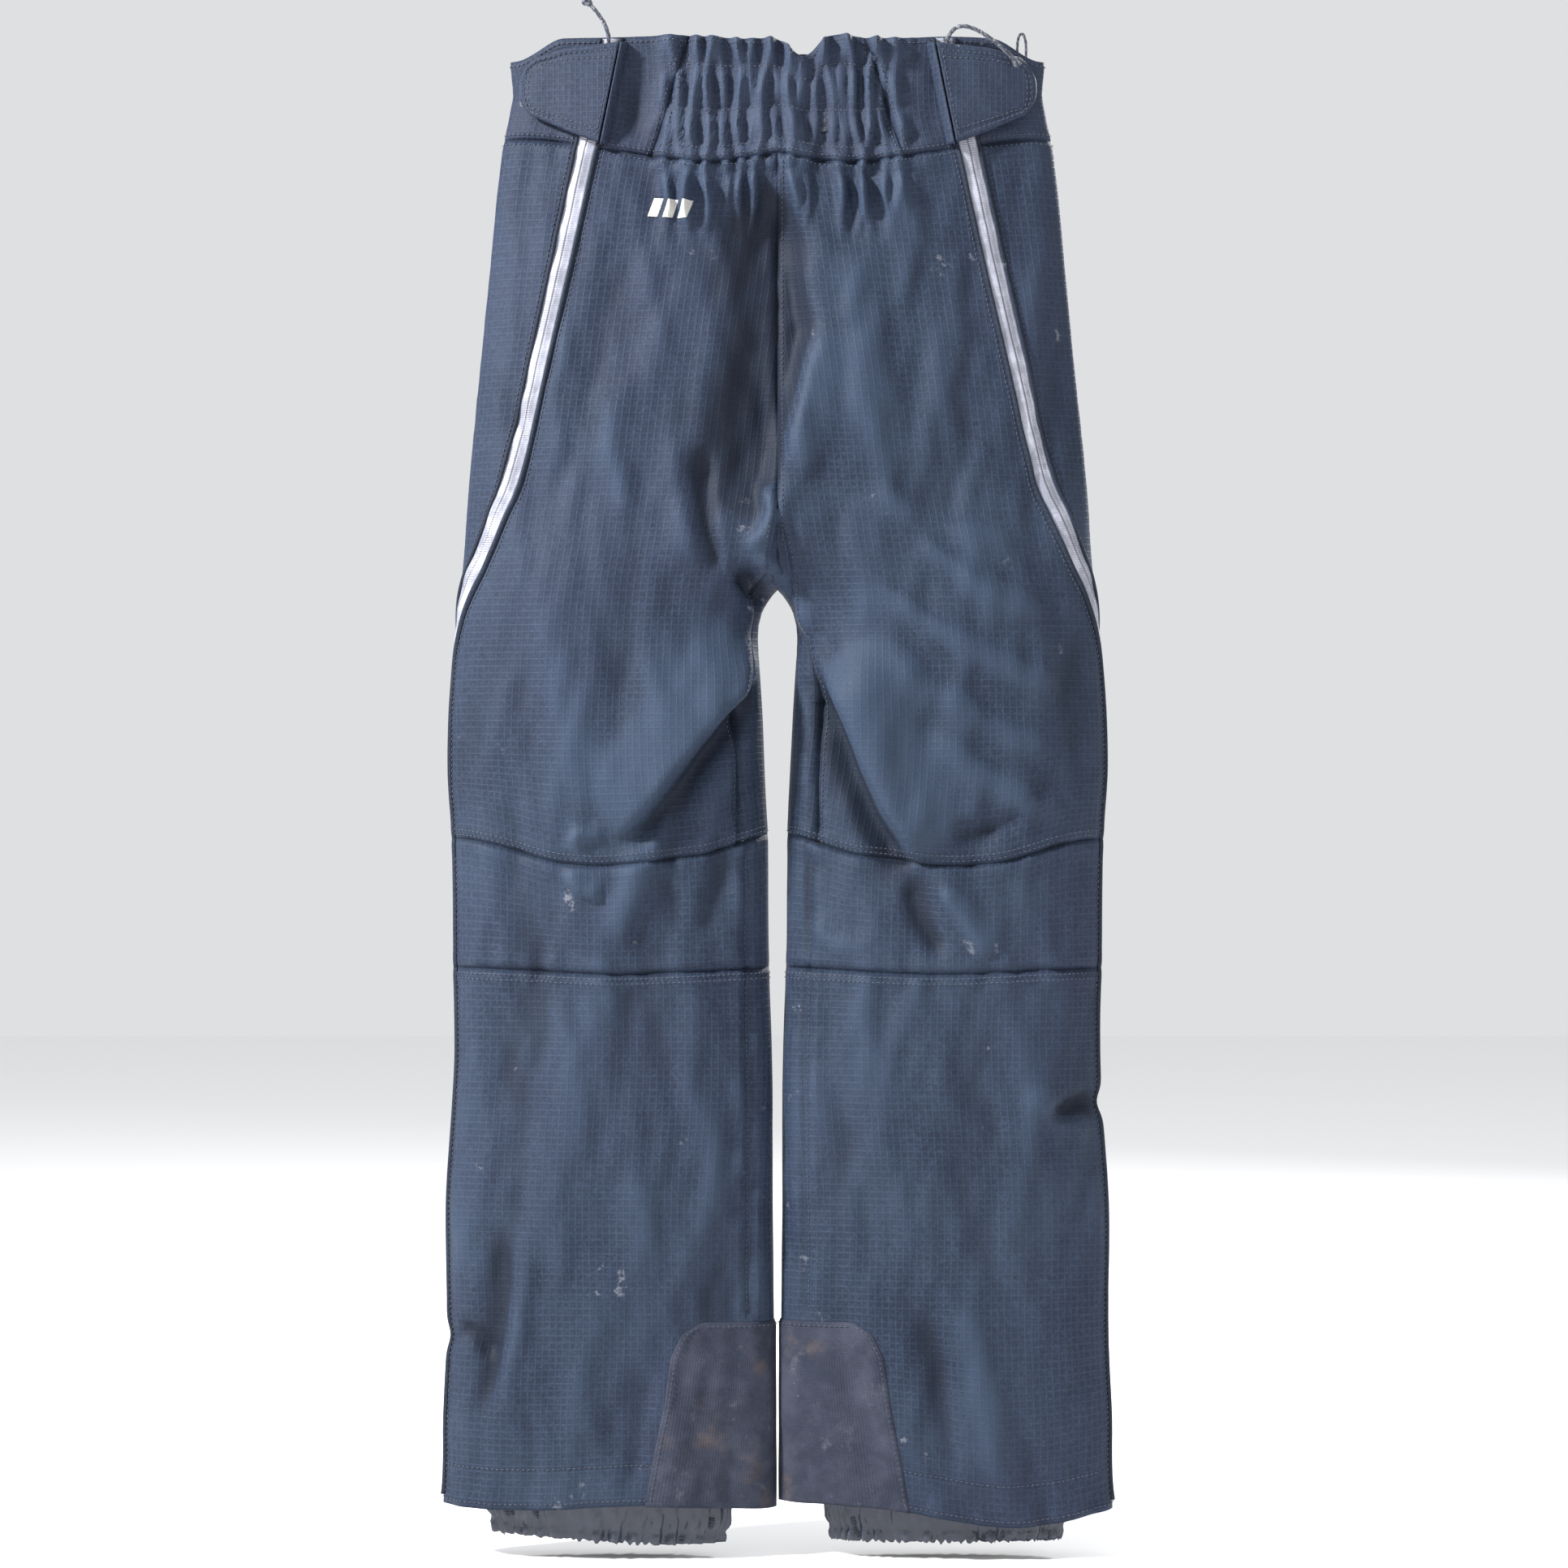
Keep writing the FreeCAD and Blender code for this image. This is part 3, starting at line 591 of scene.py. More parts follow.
def zip_film():
    """The side zips' silvery coated tape, scuffed and a little cloudy."""
    s = Shader("zip_film", 0.32, Coat_Weight=0.35, Coat_Roughness=0.2)
    body = s.place()
    base = s.mix(s.step(s.noise(body, 60, 5, 0.65), 0.38, 0.66), (0.22, 0.23, 0.28), (0.38, 0.39, 0.46))
    base = s.tint(base, (0.16, 0.17, 0.21), s.noise(body, 190, 3), 0.56, 0.72, 0.5)
    middle = s.attribute("middle")
    s.colour(s.tint(base, (0.10, 0.10, 0.12), middle, 0.82, 0.97, 0.8))
    teeth = s.math("MULTIPLY", s.bands(s.place("weave"), "Y", 0.0016), s.step(middle, 0.25, 0.6))
    s.bump(s.math("ADD", teeth, s.noise(body, 240, 3)), 0.5, 0.0006)
    return s.material


def tape_cloth(name, dark, light, period, roughness=0.8):
    """Woven tape, piping, thread or elastic, with ribs along it."""
    s = Shader(name, roughness, Sheen_Weight=0.2)
    body = s.place()
    ribs = s.bands(body, "Z", period)
    cross = s.bands(body, "X", period * 1.6)
    base = s.mix(s.noise(body, 140, 4), dark, light)
    base = s.mix(s.math("MULTIPLY", ribs, 0.35), base, scaled(light, 1.5))
    s.colour(base)
    s.bump(s.math("ADD", ribs, cross), 0.5, 0.0004)
    return s.material


def shiny_nylon():
    """The gaiters' thin slippery cloth."""
    s = Shader("gaiter_nylon", 0.3, Sheen_Weight=0.0, Coat_Weight=0.15, Coat_Roughness=0.35)
    body = s.place()
    base = s.mix(s.noise(body, 30, 5, 0.6), (0.014, 0.018, 0.032), (0.048, 0.057, 0.084))
    s.colour(s.mix(s.math("MULTIPLY", s.bands(body, "Z", 0.0012), 0.2), base, (0.05, 0.06, 0.09)))
    s.bump(s.math("ADD", s.noise(body, 110, 4), s.noise(body, 38, 3)), 0.8, 0.0018)
    return s.material


def braided():
    """Cord with a braid's slanting ribs and pale flecks."""
    s = Shader("braided_cord", 0.75, Sheen_Weight=0.3)
    body = s.place()
    ribs = s.bands(body, "DIAGONAL", 0.0022)
    base = s.mix(ribs, (0.012, 0.015, 0.025), (0.06, 0.07, 0.10))
    s.colour(s.tint(base, (0.32, 0.32, 0.36), s.noise(body, 520, 2), 0.58, 0.66, 0.7))
    s.bump(ribs, 0.8, 0.0006)
    return s.material


def metal(name, colour, roughness):
    """Metal with a paler worn skin in places."""
    s = Shader(name, roughness, metallic=0.85)
    body = s.place()
    pale = tuple(c * 2.4 + 0.05 for c in colour)
    s.colour(s.tint(colour, pale, s.noise(body, 300, 5, 0.7), 0.55, 0.75, 0.5))
    s.bump(s.noise(body, 900, 3), 0.25, 0.0002)
    return s.material


def pile(name, colour):
    """Hook or loop pile: dense small bristles."""
    s = Shader(name, 0.9, Sheen_Weight=0.6)
    body = s.place()
    bristle = s.noise(body, 1500, 2, 0.8)
    s.colour(s.mix(bristle, scaled(colour, 0.6), scaled(colour, 2.2)))
    s.bump(bristle, 1.0, 0.0008)
    return s.material


CLOTH = ripstop("ripstop_cloth", (0.012, 0.019, 0.038), (0.024, 0.037, 0.063))
BAND_CLOTH = ripstop("waistband_cloth", (0.014, 0.020, 0.039), (0.026, 0.038, 0.064), cell=0.004)
# A darker copy of the ripstop for the zip welts: painted shade along the zips' edges.
WELT_CLOTH_PAINTED_SHADE = ripstop("welt_cloth_painted_shade", (0.008, 0.012, 0.022), (0.015, 0.022, 0.038), cell=0.004)
SCUFF = scuffed()
ZIP_FILM = zip_film()
PIPING = tape_cloth("piping", (0.030, 0.038, 0.062), (0.052, 0.064, 0.098), 0.0016, 0.6)
THREAD = tape_cloth("thread", (0.020, 0.028, 0.050), (0.048, 0.062, 0.098), 0.0008, 0.6)
THREAD_LIGHT = tape_cloth("thread_light", (0.50, 0.49, 0.46), (0.72, 0.71, 0.67), 0.0007, 0.5)
ELASTIC_RIB = tape_cloth("ribbed_elastic", (0.012, 0.014, 0.024), (0.034, 0.040, 0.060), 0.0022)
NYLON = shiny_nylon()
CORD = braided()
DARK_METAL = metal("dark_metal", (0.05, 0.05, 0.055), 0.42)
STEEL = metal("snap_metal", (0.20, 0.20, 0.21), 0.32)
PILE = pile("hook_and_loop", (0.02, 0.02, 0.025))


# ---------------------------------------------------------------- mesh helpers


def make(name, points, faces, material, uv=None, **floats):
    """A smooth mesh object. uv is a (u, v) for each point; floats are named values for each point."""
    mesh = bpy.data.meshes.new(name)
    mesh.from_pydata([tuple(p) for p in points], [], [tuple(int(i) for i in f) for f in faces])
    mesh.materials.append(material)
    mesh.shade_smooth()
    if uv is not None:
        layer = mesh.uv_layers.new(name="weave")
        corners = np.empty(len(mesh.loops), np.int32)
        mesh.loops.foreach_get("vertex_index", corners)
        layer.data.foreach_set("uv", np.asarray(uv, np.float32)[corners].ravel())
    for key, values in floats.items():
        data = mesh.attributes.new(key, "FLOAT", "POINT")
        data.data.foreach_set("value", np.asarray(values, np.float32).ravel())
    piece = bpy.data.objects.new(name, mesh)
    bpy.context.scene.collection.objects.link(piece)
    return piece


def grid_faces(rows, columns, around=False, flip=False):
    """The faces of a sheet of points stored row by row. around joins the last column to the first."""
    index = np.arange(rows * columns).reshape(rows, columns)
    if around:
        index = np.hstack([index, index[:, :1]])
    corners = (index[:-1, :-1], index[:-1, 1:], index[1:, 1:], index[1:, :-1])
    return np.stack([c.ravel() for c in corners], 1)[:, :: -1 if flip else 1]


def flat_uv(u, v):
    return np.stack([u.ravel(), v.ravel()], 1)


def thicken(piece, thickness):
    """Gives a sheet its thickness, inwards."""
    modifier = piece.modifiers.new("thickness", "SOLIDIFY")
    modifier.thickness = thickness
    modifier.offset = -1
    return piece


def weld(piece):
    """Joins a sheet's points that share a place, so that its parts meet without a slit."""
    sheet = bmesh.new()
    sheet.from_mesh(piece.data)
    bmesh.ops.remove_doubles(sheet, verts=sheet.verts, dist=1e-5)
    sheet.to_mesh(piece.data)
    sheet.free()
    return piece


def settle(piece, body, slot, *nodes):
    """Rides a piece on a body and hides the CAD nodes it stands for."""
    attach(piece, body)
    if nodes:
        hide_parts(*nodes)


def bend_at_knee(piece, side, slot, *nodes):
    """Hides the CAD nodes that a piece of cloth across a knee stands for, and bakes its place into its
    points.
    """
    if nodes:
        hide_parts(*nodes)
    start, end = ((SIDES[side] * KNEE_X, 0, z) for z in (KNEE_HIGH - 0.010, KNEE_LOW + 0.006))
    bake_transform(piece)
    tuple(start)
    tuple(end)


# ---------------------------------------------------------------- the shell's panels


def shell_rows(top, low):
    """The heights of one band's rows."""
    return np.linspace(top, low, max(3, round((top - low) / ROW_STEP)))


def band_edge(ends):
    """A slanting line down the band, as a distance from the middle at each height."""
    return lambda z: ends[0] + (ends[1] - ends[0]) * z / BAND_LOW


def shell_grid(side, heights, marks):
    """Angles and distances round one half, with a column along each mark: a line given as angles."""
    _, wide, deep = oval(side, heights)
    start = inner_end(side, heights)
    stops = np.stack([start, *marks, 2 * math.pi - start], 1)
    rows = []
    for stop, a, b in zip(stops, wide, deep):
        fine = np.linspace(stop[0], stop[-1], 600)
        step = np.hypot(a * np.sin(fine), b * np.cos(fine)) * (fine[1] - fine[0])
        rows.append((fine, np.concatenate([[0], np.cumsum(step[1:])])))
    spots = np.array([np.interp(stop, fine, arc) for stop, (fine, arc) in zip(stops, rows)])
    shares = np.diff(spots, axis=1).mean(0) / spots[:, -1].mean()
    counts = np.maximum(4, np.round(COLUMNS * shares)).astype(int)
    thetas, arcs = [], []
    for spot, (fine, arc) in zip(spots, rows):
        even = [np.linspace(a, b, n, endpoint=False) for a, b, n in zip(spot, spot[1:], counts)]
        even = np.concatenate([*even, spot[-1:]])
        thetas.append(np.interp(even, arc, fine))
        arcs.append(even - arc[-1] / 2)
    return np.array(thetas), np.array(arcs), np.concatenate([[0], np.cumsum(counts)])


def shell_bands(side):
    """Each band of the shell: its rows, the lines that part its panels, and the panels' names in order."""
    levels = (0, BAND_LOW, KNEE_HIGH, KNEE_LOW, HEM)
    band, thigh, knee, shin = (shell_rows(top, low) for top, low in zip(levels, levels[1:]))
    lines = [theta_at(side, band_edge(ends)(band), band) for ends in (ELASTIC, TAB_SEAM)]
    gusset = np.maximum(theta_at(side, gusset_edge(thigh), thigh), inner_end(side, thigh))
    yield band, lines, ("waistband_elastic", f"waistband_panel_{side}", f"waistband_front_{side}")
    names = f"leg_gusset_{side}", f"back_panel_{side}", f"front_panel_{side}", f"leg_gusset_{side}"
    yield thigh, [gusset, zip_path(side, thigh), 2 * math.pi - gusset], names
    yield knee, [math.pi + 0 * knee], (f"knee_back_{side}", f"knee_front_{side}")
    yield shin, [math.pi + 0 * shin], (f"calf_panel_{side}", f"shin_panel_{side}")


def build_shell():
    """Every cloth panel of both halves, cut from fine grids over the measured ovals."""
    cut = {}
    for side, sign in SIDES.items():
        for heights, marks, names in shell_bands(side):
            thetas, arcs, stops = shell_grid(side, heights, marks)
            z = np.repeat(heights[:, None], thetas.shape[1], 1)
            points, _, relief = cloth(side, thetas, z)
            for name, first, last in zip(names, stops, stops[1:]):
                span = slice(first, last + 1)
                part = cut.setdefault(name, {"points": [], "faces": [], "uv": [], "ridge": [], "count": 0})
                corners = points[:, span].reshape(-1, 3)
                faces = grid_faces(len(heights), last - first + 1)
                a, b, c = (corners[faces[:, i]] for i in (0, 1, 2))
                faces = faces[np.linalg.norm(np.cross(b - a, c - a), axis=1) > 1e-9]
                part["faces"].append((faces[:, ::-1] if sign > 0 else faces) + part["count"])
                part["points"].append(corners)
                part["uv"].append(flat_uv(arcs[:, span], z[:, span]))
                # The relief also drives the cloth's painted highlight on ridges and painted shade in
                # valleys.
                part["ridge"].append(relief[:, span].ravel())
                part["count"] += len(corners)
    for node, part in cut.items():
        material = BAND_CLOTH if node.startswith("waistband") else CLOTH
        points, faces, uv, ridge = (np.concatenate(part[key]) for key in ("points", "faces", "uv", "ridge"))
        piece = make(f"{node}_cloth", points, faces, material, uv, ridge=ridge)
        thicken(weld(piece), SHELL_THICK)
        side = node.rsplit("_", 1)[-1]
        if node.startswith("knee"):
            bend_at_knee(piece, side, "shell_cloth", node)
        elif node.startswith(("calf", "shin")):
            settle(piece, f"lower_leg_{side}", "shell_cloth", node)
        else:
            slot = "elastic_cloth" if node == "waistband_elastic" else "shell_cloth"
            settle(piece, "trousers", slot, node)


# ---------------------------------------------------------------- strips and stitching


def zip_path(side, heights):
    """The side zip's angle round the oval at each height."""
    _, wide, deep = oval(side, heights)
    x = np.interp(-heights, -ZIP_LINE[:, 1], ZIP_LINE[:, 0])
    upper = theta_at(side, x, heights)
    along = math.pi + np.arcsin(0.004 / deep)
    share = smooth(-heights, 0.392, 0.430)
    path = upper * (1 - share) + along * share
    reach = max(1, round(0.03 / abs(heights[1] - heights[0])))
    longer = np.pad(path, reach, mode="reflect", reflect_type="odd")
    return np.convolve(longer, np.ones(2 * reach + 1) / (2 * reach + 1), "valid")


def strip(side, theta, heights, offsets, lifts):
    """A sheet of points along a path on the cloth. offsets and lifts shape it across, in metres."""
    centre, wide, deep = oval(side, heights)
    pace = np.hypot(wide * np.sin(theta), deep * np.cos(theta))
    out_step = np.gradient(centre - wide * np.cos(theta), heights) * wide * np.sin(theta)
    deep_step = np.gradient(deep * np.sin(theta), heights) * deep * np.cos(theta)
    slope = (out_step + deep_step) / pace
    lean = np.sqrt(1 + np.minimum(slope * slope, 1.5))
    spread = (lean / pace)[:, None] * np.asarray(offsets)[None, :]
    angles = theta[:, None] + spread
    points, normal, relief = cloth(side, angles, np.repeat(heights[:, None], len(offsets), 1))
    return points + normal * np.asarray(lifts)[..., None], relief


def strip_piece(name, side, theta, heights, offsets, lifts, material, **floats):
    """The same as a piece. floats are named values across the strip."""
    points, relief = strip(side, theta, heights, offsets, lifts)
    rows, columns = points.shape[:2]
    faces = grid_faces(rows, columns, flip=SIDES[side] > 0)
    uv = flat_uv(np.tile(offsets, (rows, 1)), np.repeat(heights[:, None], columns, 1))
    values = {key: np.tile(value, (rows, 1)) for key, value in floats.items()}
    return make(name, points.reshape(-1, 3), faces, material, uv, ridge=relief, **values)


STITCH_LONG, STITCH_GAP, STITCH_WIDE = 0.0027, 0.0010, 0.00042
LENS = np.array([(1, 0, 0), (0.1, 1, 0), (0.1, 0, 1), (0.1, -1, 0), (0.1, 0, -1), (-1, 0, 0)])
LENS_FACES = np.array(
    [(0, 1, 2), (0, 2, 3), (0, 3, 4), (0, 4, 1), (5, 2, 1), (5, 3, 2), (5, 4, 3), (5, 1, 4)]
)


def along_arc(spots, arc, values):
    """Rows of values at some distances along a line."""
    return np.stack([np.interp(spots, arc, values[:, i]) for i in range(3)], 1)


def arc_of(points):
    """The distance along a line at each of its points."""
    return np.concatenate([[0], np.cumsum(np.linalg.norm(np.diff(points, axis=0), axis=1))])


def stitch_mesh(lines):
    """Small lens-shaped stitches along lines of (points, normals)."""
    all_points, all_faces = [], []
    for points, normals in lines:
        arc = arc_of(points)
        count = int(arc[-1] / (STITCH_LONG + STITCH_GAP))
        if count < 1:
            continue
        spots = (np.arange(count) + 0.5) * arc[-1] / count
        middle = along_arc(spots, arc, points)
        out = along_arc(spots, arc, normals)
        along = along_arc(spots + 0.0008, arc, points) - along_arc(spots - 0.0008, arc, points)
        along /= np.linalg.norm(along, axis=1, keepdims=True) + 1e-12
        across = np.cross(out, along)
        across /= np.linalg.norm(across, axis=1, keepdims=True) + 1e-12
        up = np.cross(along, across)
        axes = np.stack([along * STITCH_LONG / 2, across * STITCH_WIDE, up * STITCH_WIDE], 1)
        corners = np.einsum("kc,ncd->nkd", LENS, axes) + middle[:, None]
        base = sum(len(p) for p in all_points)
        starts = base + len(LENS) * np.arange(count)[:, None, None]
        all_faces.append((LENS_FACES[None] + starts).reshape(-1, 3))
        all_points.append(corners.reshape(-1, 3))
    return np.concatenate(all_points), np.concatenate(all_faces)


STITCH_LIFT = 0.0005


def line_heights(top, low):
    return np.linspace(top, low, max(6, int((top - low) / 0.003)))


def around_line(side, z, first=0.0, last=1.0):
    """A line round one half at one height, as points and normals, between two shares of the way round."""
    start = float(inner_end(side, z))
    theta = start + np.linspace(first, last, 260) * 2 * (math.pi - start)
    return cloth(side, theta, np.full(theta.shape, z), STITCH_LIFT)[:2]


def down_line(side, x_of, top, low, back=True, lift=STITCH_LIFT, shift=0.0):
    """A line down one half. x_of gives the distance from the middle at each height."""
    heights = line_heights(top, low)
    theta = theta_at(side, x_of(heights) + shift, heights) * (1 if back else -1)
    return cloth(side, theta, heights, lift)[:2]


def zip_side_line(side, top, low, offset):
    """A line beside the side zip, as points and normals."""
    heights = line_heights(top, low)
    lifts = [[STITCH_LIFT, STITCH_LIFT]] * len(heights)
    points, _ = strip(side, zip_path(side, heights), heights, [offset, offset + 1e-4], lifts)
    line = points[:, 0]
    centre, _, _ = oval(side, heights)
    middle = np.stack([SIDES[side] * centre, 0 * centre, heights], 1)
    normal = line - middle
    return line, normal / np.linalg.norm(normal, axis=1, keepdims=True)


def elastic_rows(side):
    """The rows of stitching across the elastic."""
    across = np.linspace(0, ELASTIC[1] - 0.012, 90)
    for row in ELASTIC_ROWS:
        heights = np.full(90, row * MM)
        yield cloth(side, theta_at(side, across, heights), heights, 0.0006)[:2]


def guard_rows(side):
    """The stitching round a scuff guard's edge: down both sides, then across the top."""
    top, lift = SCUFF_LINE[0, 1], 0.0019
    slim = np.maximum(SCUFF_LINE[:, 0] - 0.003, 0)
    for back in (True, False):
        yield down_line(
            side, lambda z: np.interp(-z, -SCUFF_LINE[:, 1], slim), top - 0.003, HEM + 0.003, back, lift
        )
    reach = float(theta_at(side, 0.050, top))
    yield cloth(side, np.linspace(-reach, reach, 90), np.full(90, top - 0.0028), lift)[:2]


def build_stitching():
    """Topstitching along every seam, one piece for each body it sews."""
    for side, sign in SIDES.items():
        upper, lower, knee = [], [], []
        levels = (-0.0035, BAND_LOW + 0.004, BAND_LOW - 0.003, KNEE_HIGH + 0.003)
        upper += [around_line(side, z) for z in levels]
        upper += [around_line(side, KNEE_HIGH + 0.0065, first=0.02, last=0.98)]
        for ends in (ELASTIC, TAB_SEAM):
            for shift in (0.0035, -0.0035):
                upper.append(down_line(side, band_edge(ends), -0.002, BAND_LOW, shift=shift))
        upper += elastic_rows(side)
        if sign > 0:
            upper.append(down_line(side, lambda z: 0 * z + 0.0035, BAND_LOW - 0.004, -0.36))
        for back in (True, False):
            edge = lambda z: gusset_edge(z, 0.02)
            upper.append(down_line(side, edge, -0.345, KNEE_HIGH, back, shift=0.003))
            inner = lambda z: 0 * z + GUSSET
            knee.append(down_line(side, inner, KNEE_HIGH - 0.012, KNEE_LOW + 0.008, back, shift=-0.006))
            lower.append(down_line(side, lambda z: 0 * z + 0.0215, KNEE_LOW - 0.004, -0.898, back))
        for offset in (-0.0108, 0.0108):
            upper.append(zip_side_line(side, -0.004, KNEE_HIGH + 0.002, offset))
            knee.append(zip_side_line(side, KNEE_HIGH - 0.012, KNEE_LOW + 0.008, offset))
            lower.append(zip_side_line(side, KNEE_LOW - 0.003, HEM + 0.004, offset))
        levels = (KNEE_LOW - 0.0035, KNEE_LOW - 0.007, HEM + 0.0285, HEM + 0.004)
        lower += [around_line(side, z) for z in levels]
        lower += guard_rows(side)
        for part, lines in (("upper", upper), ("lower", lower), ("knee", knee)):
            piece = make(f"topstitch_{part}_{side}", *stitch_mesh(lines), THREAD)
            if part == "knee":
                bend_at_knee(piece, side, "thread")
            else:
                settle(piece, "trousers" if part == "upper" else f"lower_leg_{side}", "thread")


# Across a side zip, from edge to edge: where each column lies and how high it stands.
FILM_ACROSS = np.array([-6.4, -6.1, -4.6, -2.6, -1.4, -0.45, 0, 0.45, 1.4, 2.6, 4.6, 6.1, 6.4]) * MM
FILM_RISE = np.array([0.2, 0.7, 0.8, 1.0, 1.6, 1.7, 1.1, 1.7, 1.6, 1.0, 0.8, 0.7, 0.2]) * MM
# The same for the welt of cloth along one edge, outwards.
WELT_ACROSS = np.array([5.9, 6.2, 7.0, 8.2, 9.0, 9.3]) * MM
WELT_RISE = np.array([0.3, 1.9, 2.5, 2.1, 1.0, 0.0]) * MM


def build_zip_length(side, length, top, low):
    """One length of a side zip: the coated tape with its closed coil, and a welt along each edge."""
    heights = np.linspace(top, low, max(8, int((top - low) / (2 * ROW_STEP / 3))))
    theta = zip_path(side, heights)
    wobble = 0.0004 * np.sin(heights / 0.006 + 2 * np.sin(heights / 0.021))
    name = f"side_zip_{length}_{side}"
    rise = FILM_RISE[None] + wobble[:, None]
    middle = 1 - np.abs(FILM_ACROSS) / FILM_ACROSS[-1]
    film = strip_piece(f"{name}_film", side, theta, heights, FILM_ACROSS, rise, ZIP_FILM, middle=middle)
    pieces = [(film, "zip_tape", (name,))]
    for edge, sign in (("front", 1), ("rear", -1)):
        across, rise = (sign * WELT_ACROSS)[::sign], np.tile(WELT_RISE[::sign], (len(heights), 1))
        label = f"zip_welt_{length}_{side}_{edge}"
        # The welts take the darker cloth, painted shade beside the zip.
        welt = strip_piece(label, side, theta, heights, across, rise, WELT_CLOTH_PAINTED_SHADE)
        pieces.append((welt, "shell_cloth", ()))
    for piece, slot, nodes in pieces:
        thicken(piece, FILM_THICK)
        if length == "knee":
            bend_at_knee(piece, side, slot, *nodes)
        else:
            settle(piece, "trousers" if length == "thigh" else f"lower_leg_{side}", slot, *nodes)


def build_zips():
    for side in SIDES:
        build_zip_length(side, "thigh", -0.001, KNEE_HIGH)
        build_zip_length(side, "knee", KNEE_HIGH, KNEE_LOW)
        build_zip_length(side, "shin", KNEE_LOW, HEM + 0.006)


def build_ankles():
    """Scuff guards outside the hems, and the facings inside them."""
    for side, sign in SIDES.items():
        body = f"lower_leg_{side}"
        heights = np.linspace(SCUFF_LINE[0, 1], HEM - 0.0006, 60)
        reach = theta_at(side, np.interp(-heights, -SCUFF_LINE[:, 1], SCUFF_LINE[:, 0]), heights)
        share = np.linspace(-1, 1, 141)
        theta = reach[:, None] * share[None, :]
        z = np.repeat(heights[:, None], len(share), 1)
        edge = smooth(1 - np.abs(share), 0.0, 0.035)[None, :] * smooth(np.arange(60), 0, 1.5)[:, None]
        points, normal, relief = cloth(side, theta, z)
        points = points + normal * (0.0002 + 0.0011 * edge)[..., None]
        faces = grid_faces(*theta.shape, flip=sign > 0)
        uv = flat_uv(0.09 * share[None, :] * np.ones_like(z), z)
        guard = make(f"scuff_guard_{side}_cloth", points.reshape(-1, 3), faces, SCUFF, uv, ridge=relief)
        settle(thicken(guard, GUARD_THICK), body, "scuff_cloth", f"scuff_guard_{side}")

        heights = np.linspace(HEM + 0.022, HEM, 8)
        theta = np.tile(np.linspace(0, 2 * math.pi, 120, endpoint=False), (8, 1))
        z = np.repeat(heights[:, None], theta.shape[1], 1)
        points, _, relief = cloth(side, theta, z, -0.0022)
        faces = grid_faces(*theta.shape, around=True, flip=sign > 0)
        uv = flat_uv(theta * 0.08, z)
        facing = make(f"hem_facing_{side}_cloth", points.reshape(-1, 3), faces, CLOTH, uv, ridge=relief)
        settle(thicken(facing, GUARD_THICK), body, "shell_cloth", f"hem_facing_{side}")


def gaiter_ovals(side, heights):
    """The gaiter's centre, half width and half depth at each height, found by rays."""
    sign = SIDES[side]
    tree = solid_tree([f"gaiter_{side}"])
    shapes = []
    for z in heights:
        inner = sign * tree.ray_cast((0, 0.0004, z), (sign, 0, 0))[0].x
        outer = sign * tree.ray_cast((sign * BESIDE, 0.0004, z), (-sign, 0, 0))[0].x
        centre = (inner + outer) / 2
        depth = -tree.ray_cast((sign * centre, -1, z), (0, 1, 0))[0].y
        shapes.append((centre, (outer - inner) / 2, depth))
    return (np.array(v)[:, None] for v in zip(*shapes))


def build_gaiters():
    """Thin shiny gaiters, gathered by an elastic round the lower edge."""
    rows, around = 70, 320
    for side, sign in SIDES.items():
        low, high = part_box(f"gaiter_{side}")
        heights = np.linspace(high[2] - 0.001, low[2] + 0.0005, rows)
        theta = np.linspace(0, 2 * math.pi, around, endpoint=False)
        centre, wide, deep = gaiter_ovals(side, heights)
        z = np.repeat(heights[:, None], around, 1)
        down = (high[2] - z) / (high[2] - low[2])
        turns = np.tile(theta * 80, (rows, 1))
        folds = waves(turns, z / MM, 21 + sign, 12, 7, 15, 6.0)
        fine = waves(turns, z / MM, 41 + sign, 12, 3.5, 7, 5.0)
        elastic = low[2] + 0.010
        pinch = 1 - 0.6 * bump(z, elastic, 0.003)
        ruffle = (0.7 + 1.6 * smooth(down, 0.75, 0.96)) * folds + 0.45 * fine
        out = (ruffle * pinch - 1.2 * bump(z, elastic, 0.0035)) * MM - 0.0012
        x = sign * (centre - (wide + out) * np.cos(theta))
        y = -(deep + out) * np.sin(theta)
        drop = 0.0011 * fine * smooth(down, 0.9, 1.0)
        tilt = 0.006 * smooth(down, 0.5, 1.0) * (np.abs(x) - 0.12) / 0.09 if sign < 0 else 0
        points = np.stack([x, y, np.maximum(z + drop + tilt, low[2] - 0.002)], -1)
        faces = grid_faces(rows, around, around=True, flip=sign > 0)
        uv = flat_uv(np.tile(theta * 0.08, (rows, 1)), z)
        name = f"gaiter_{side}"
        nylon = make(f"{name}_nylon", points.reshape(-1, 3), faces, NYLON, uv, ridge=ruffle * 1.2)
        settle(thicken(nylon, NYLON_THICK), name, "gaiter_cloth", name)

        rings = points[-9:-2].copy()
        rings[..., :2] += ((sign * float(centre.mean()), 0) - rings[..., :2]) * 0.028
        faces = grid_faces(len(rings), around, around=True, flip=sign > 0)
        band = make(f"gaiter_elastic_{side}_band", rings.reshape(-1, 3), faces, ELASTIC_RIB)
        settle(thicken(band, ELASTIC_THICK), name, "elastic", f"gaiter_elastic_{side}")


# ---------------------------------------------------------------- small pieces on the CAD's own surfaces


def rounded(rows, columns, low, high, soft):
    """A grid of (x, z) spots that fills a box with rounded corners."""
    v, u = np.meshgrid(np.linspace(-1, 1, rows), np.linspace(-1, 1, columns), indexing="ij")
    round_u = u * ((1 - soft) + soft * np.sqrt(1 - v * v / 2))
    round_v = v * ((1 - soft) + soft * np.sqrt(1 - u * u / 2))
    x = (low[0] + high[0]) / 2 + round_u * (high[0] - low[0]) / 2
    z = (low[2] + high[2]) / 2 + round_v * (high[2] - low[2]) / 2
    rim = np.minimum(1 - np.abs(u), 1 - np.abs(v))
    return x, z, rim


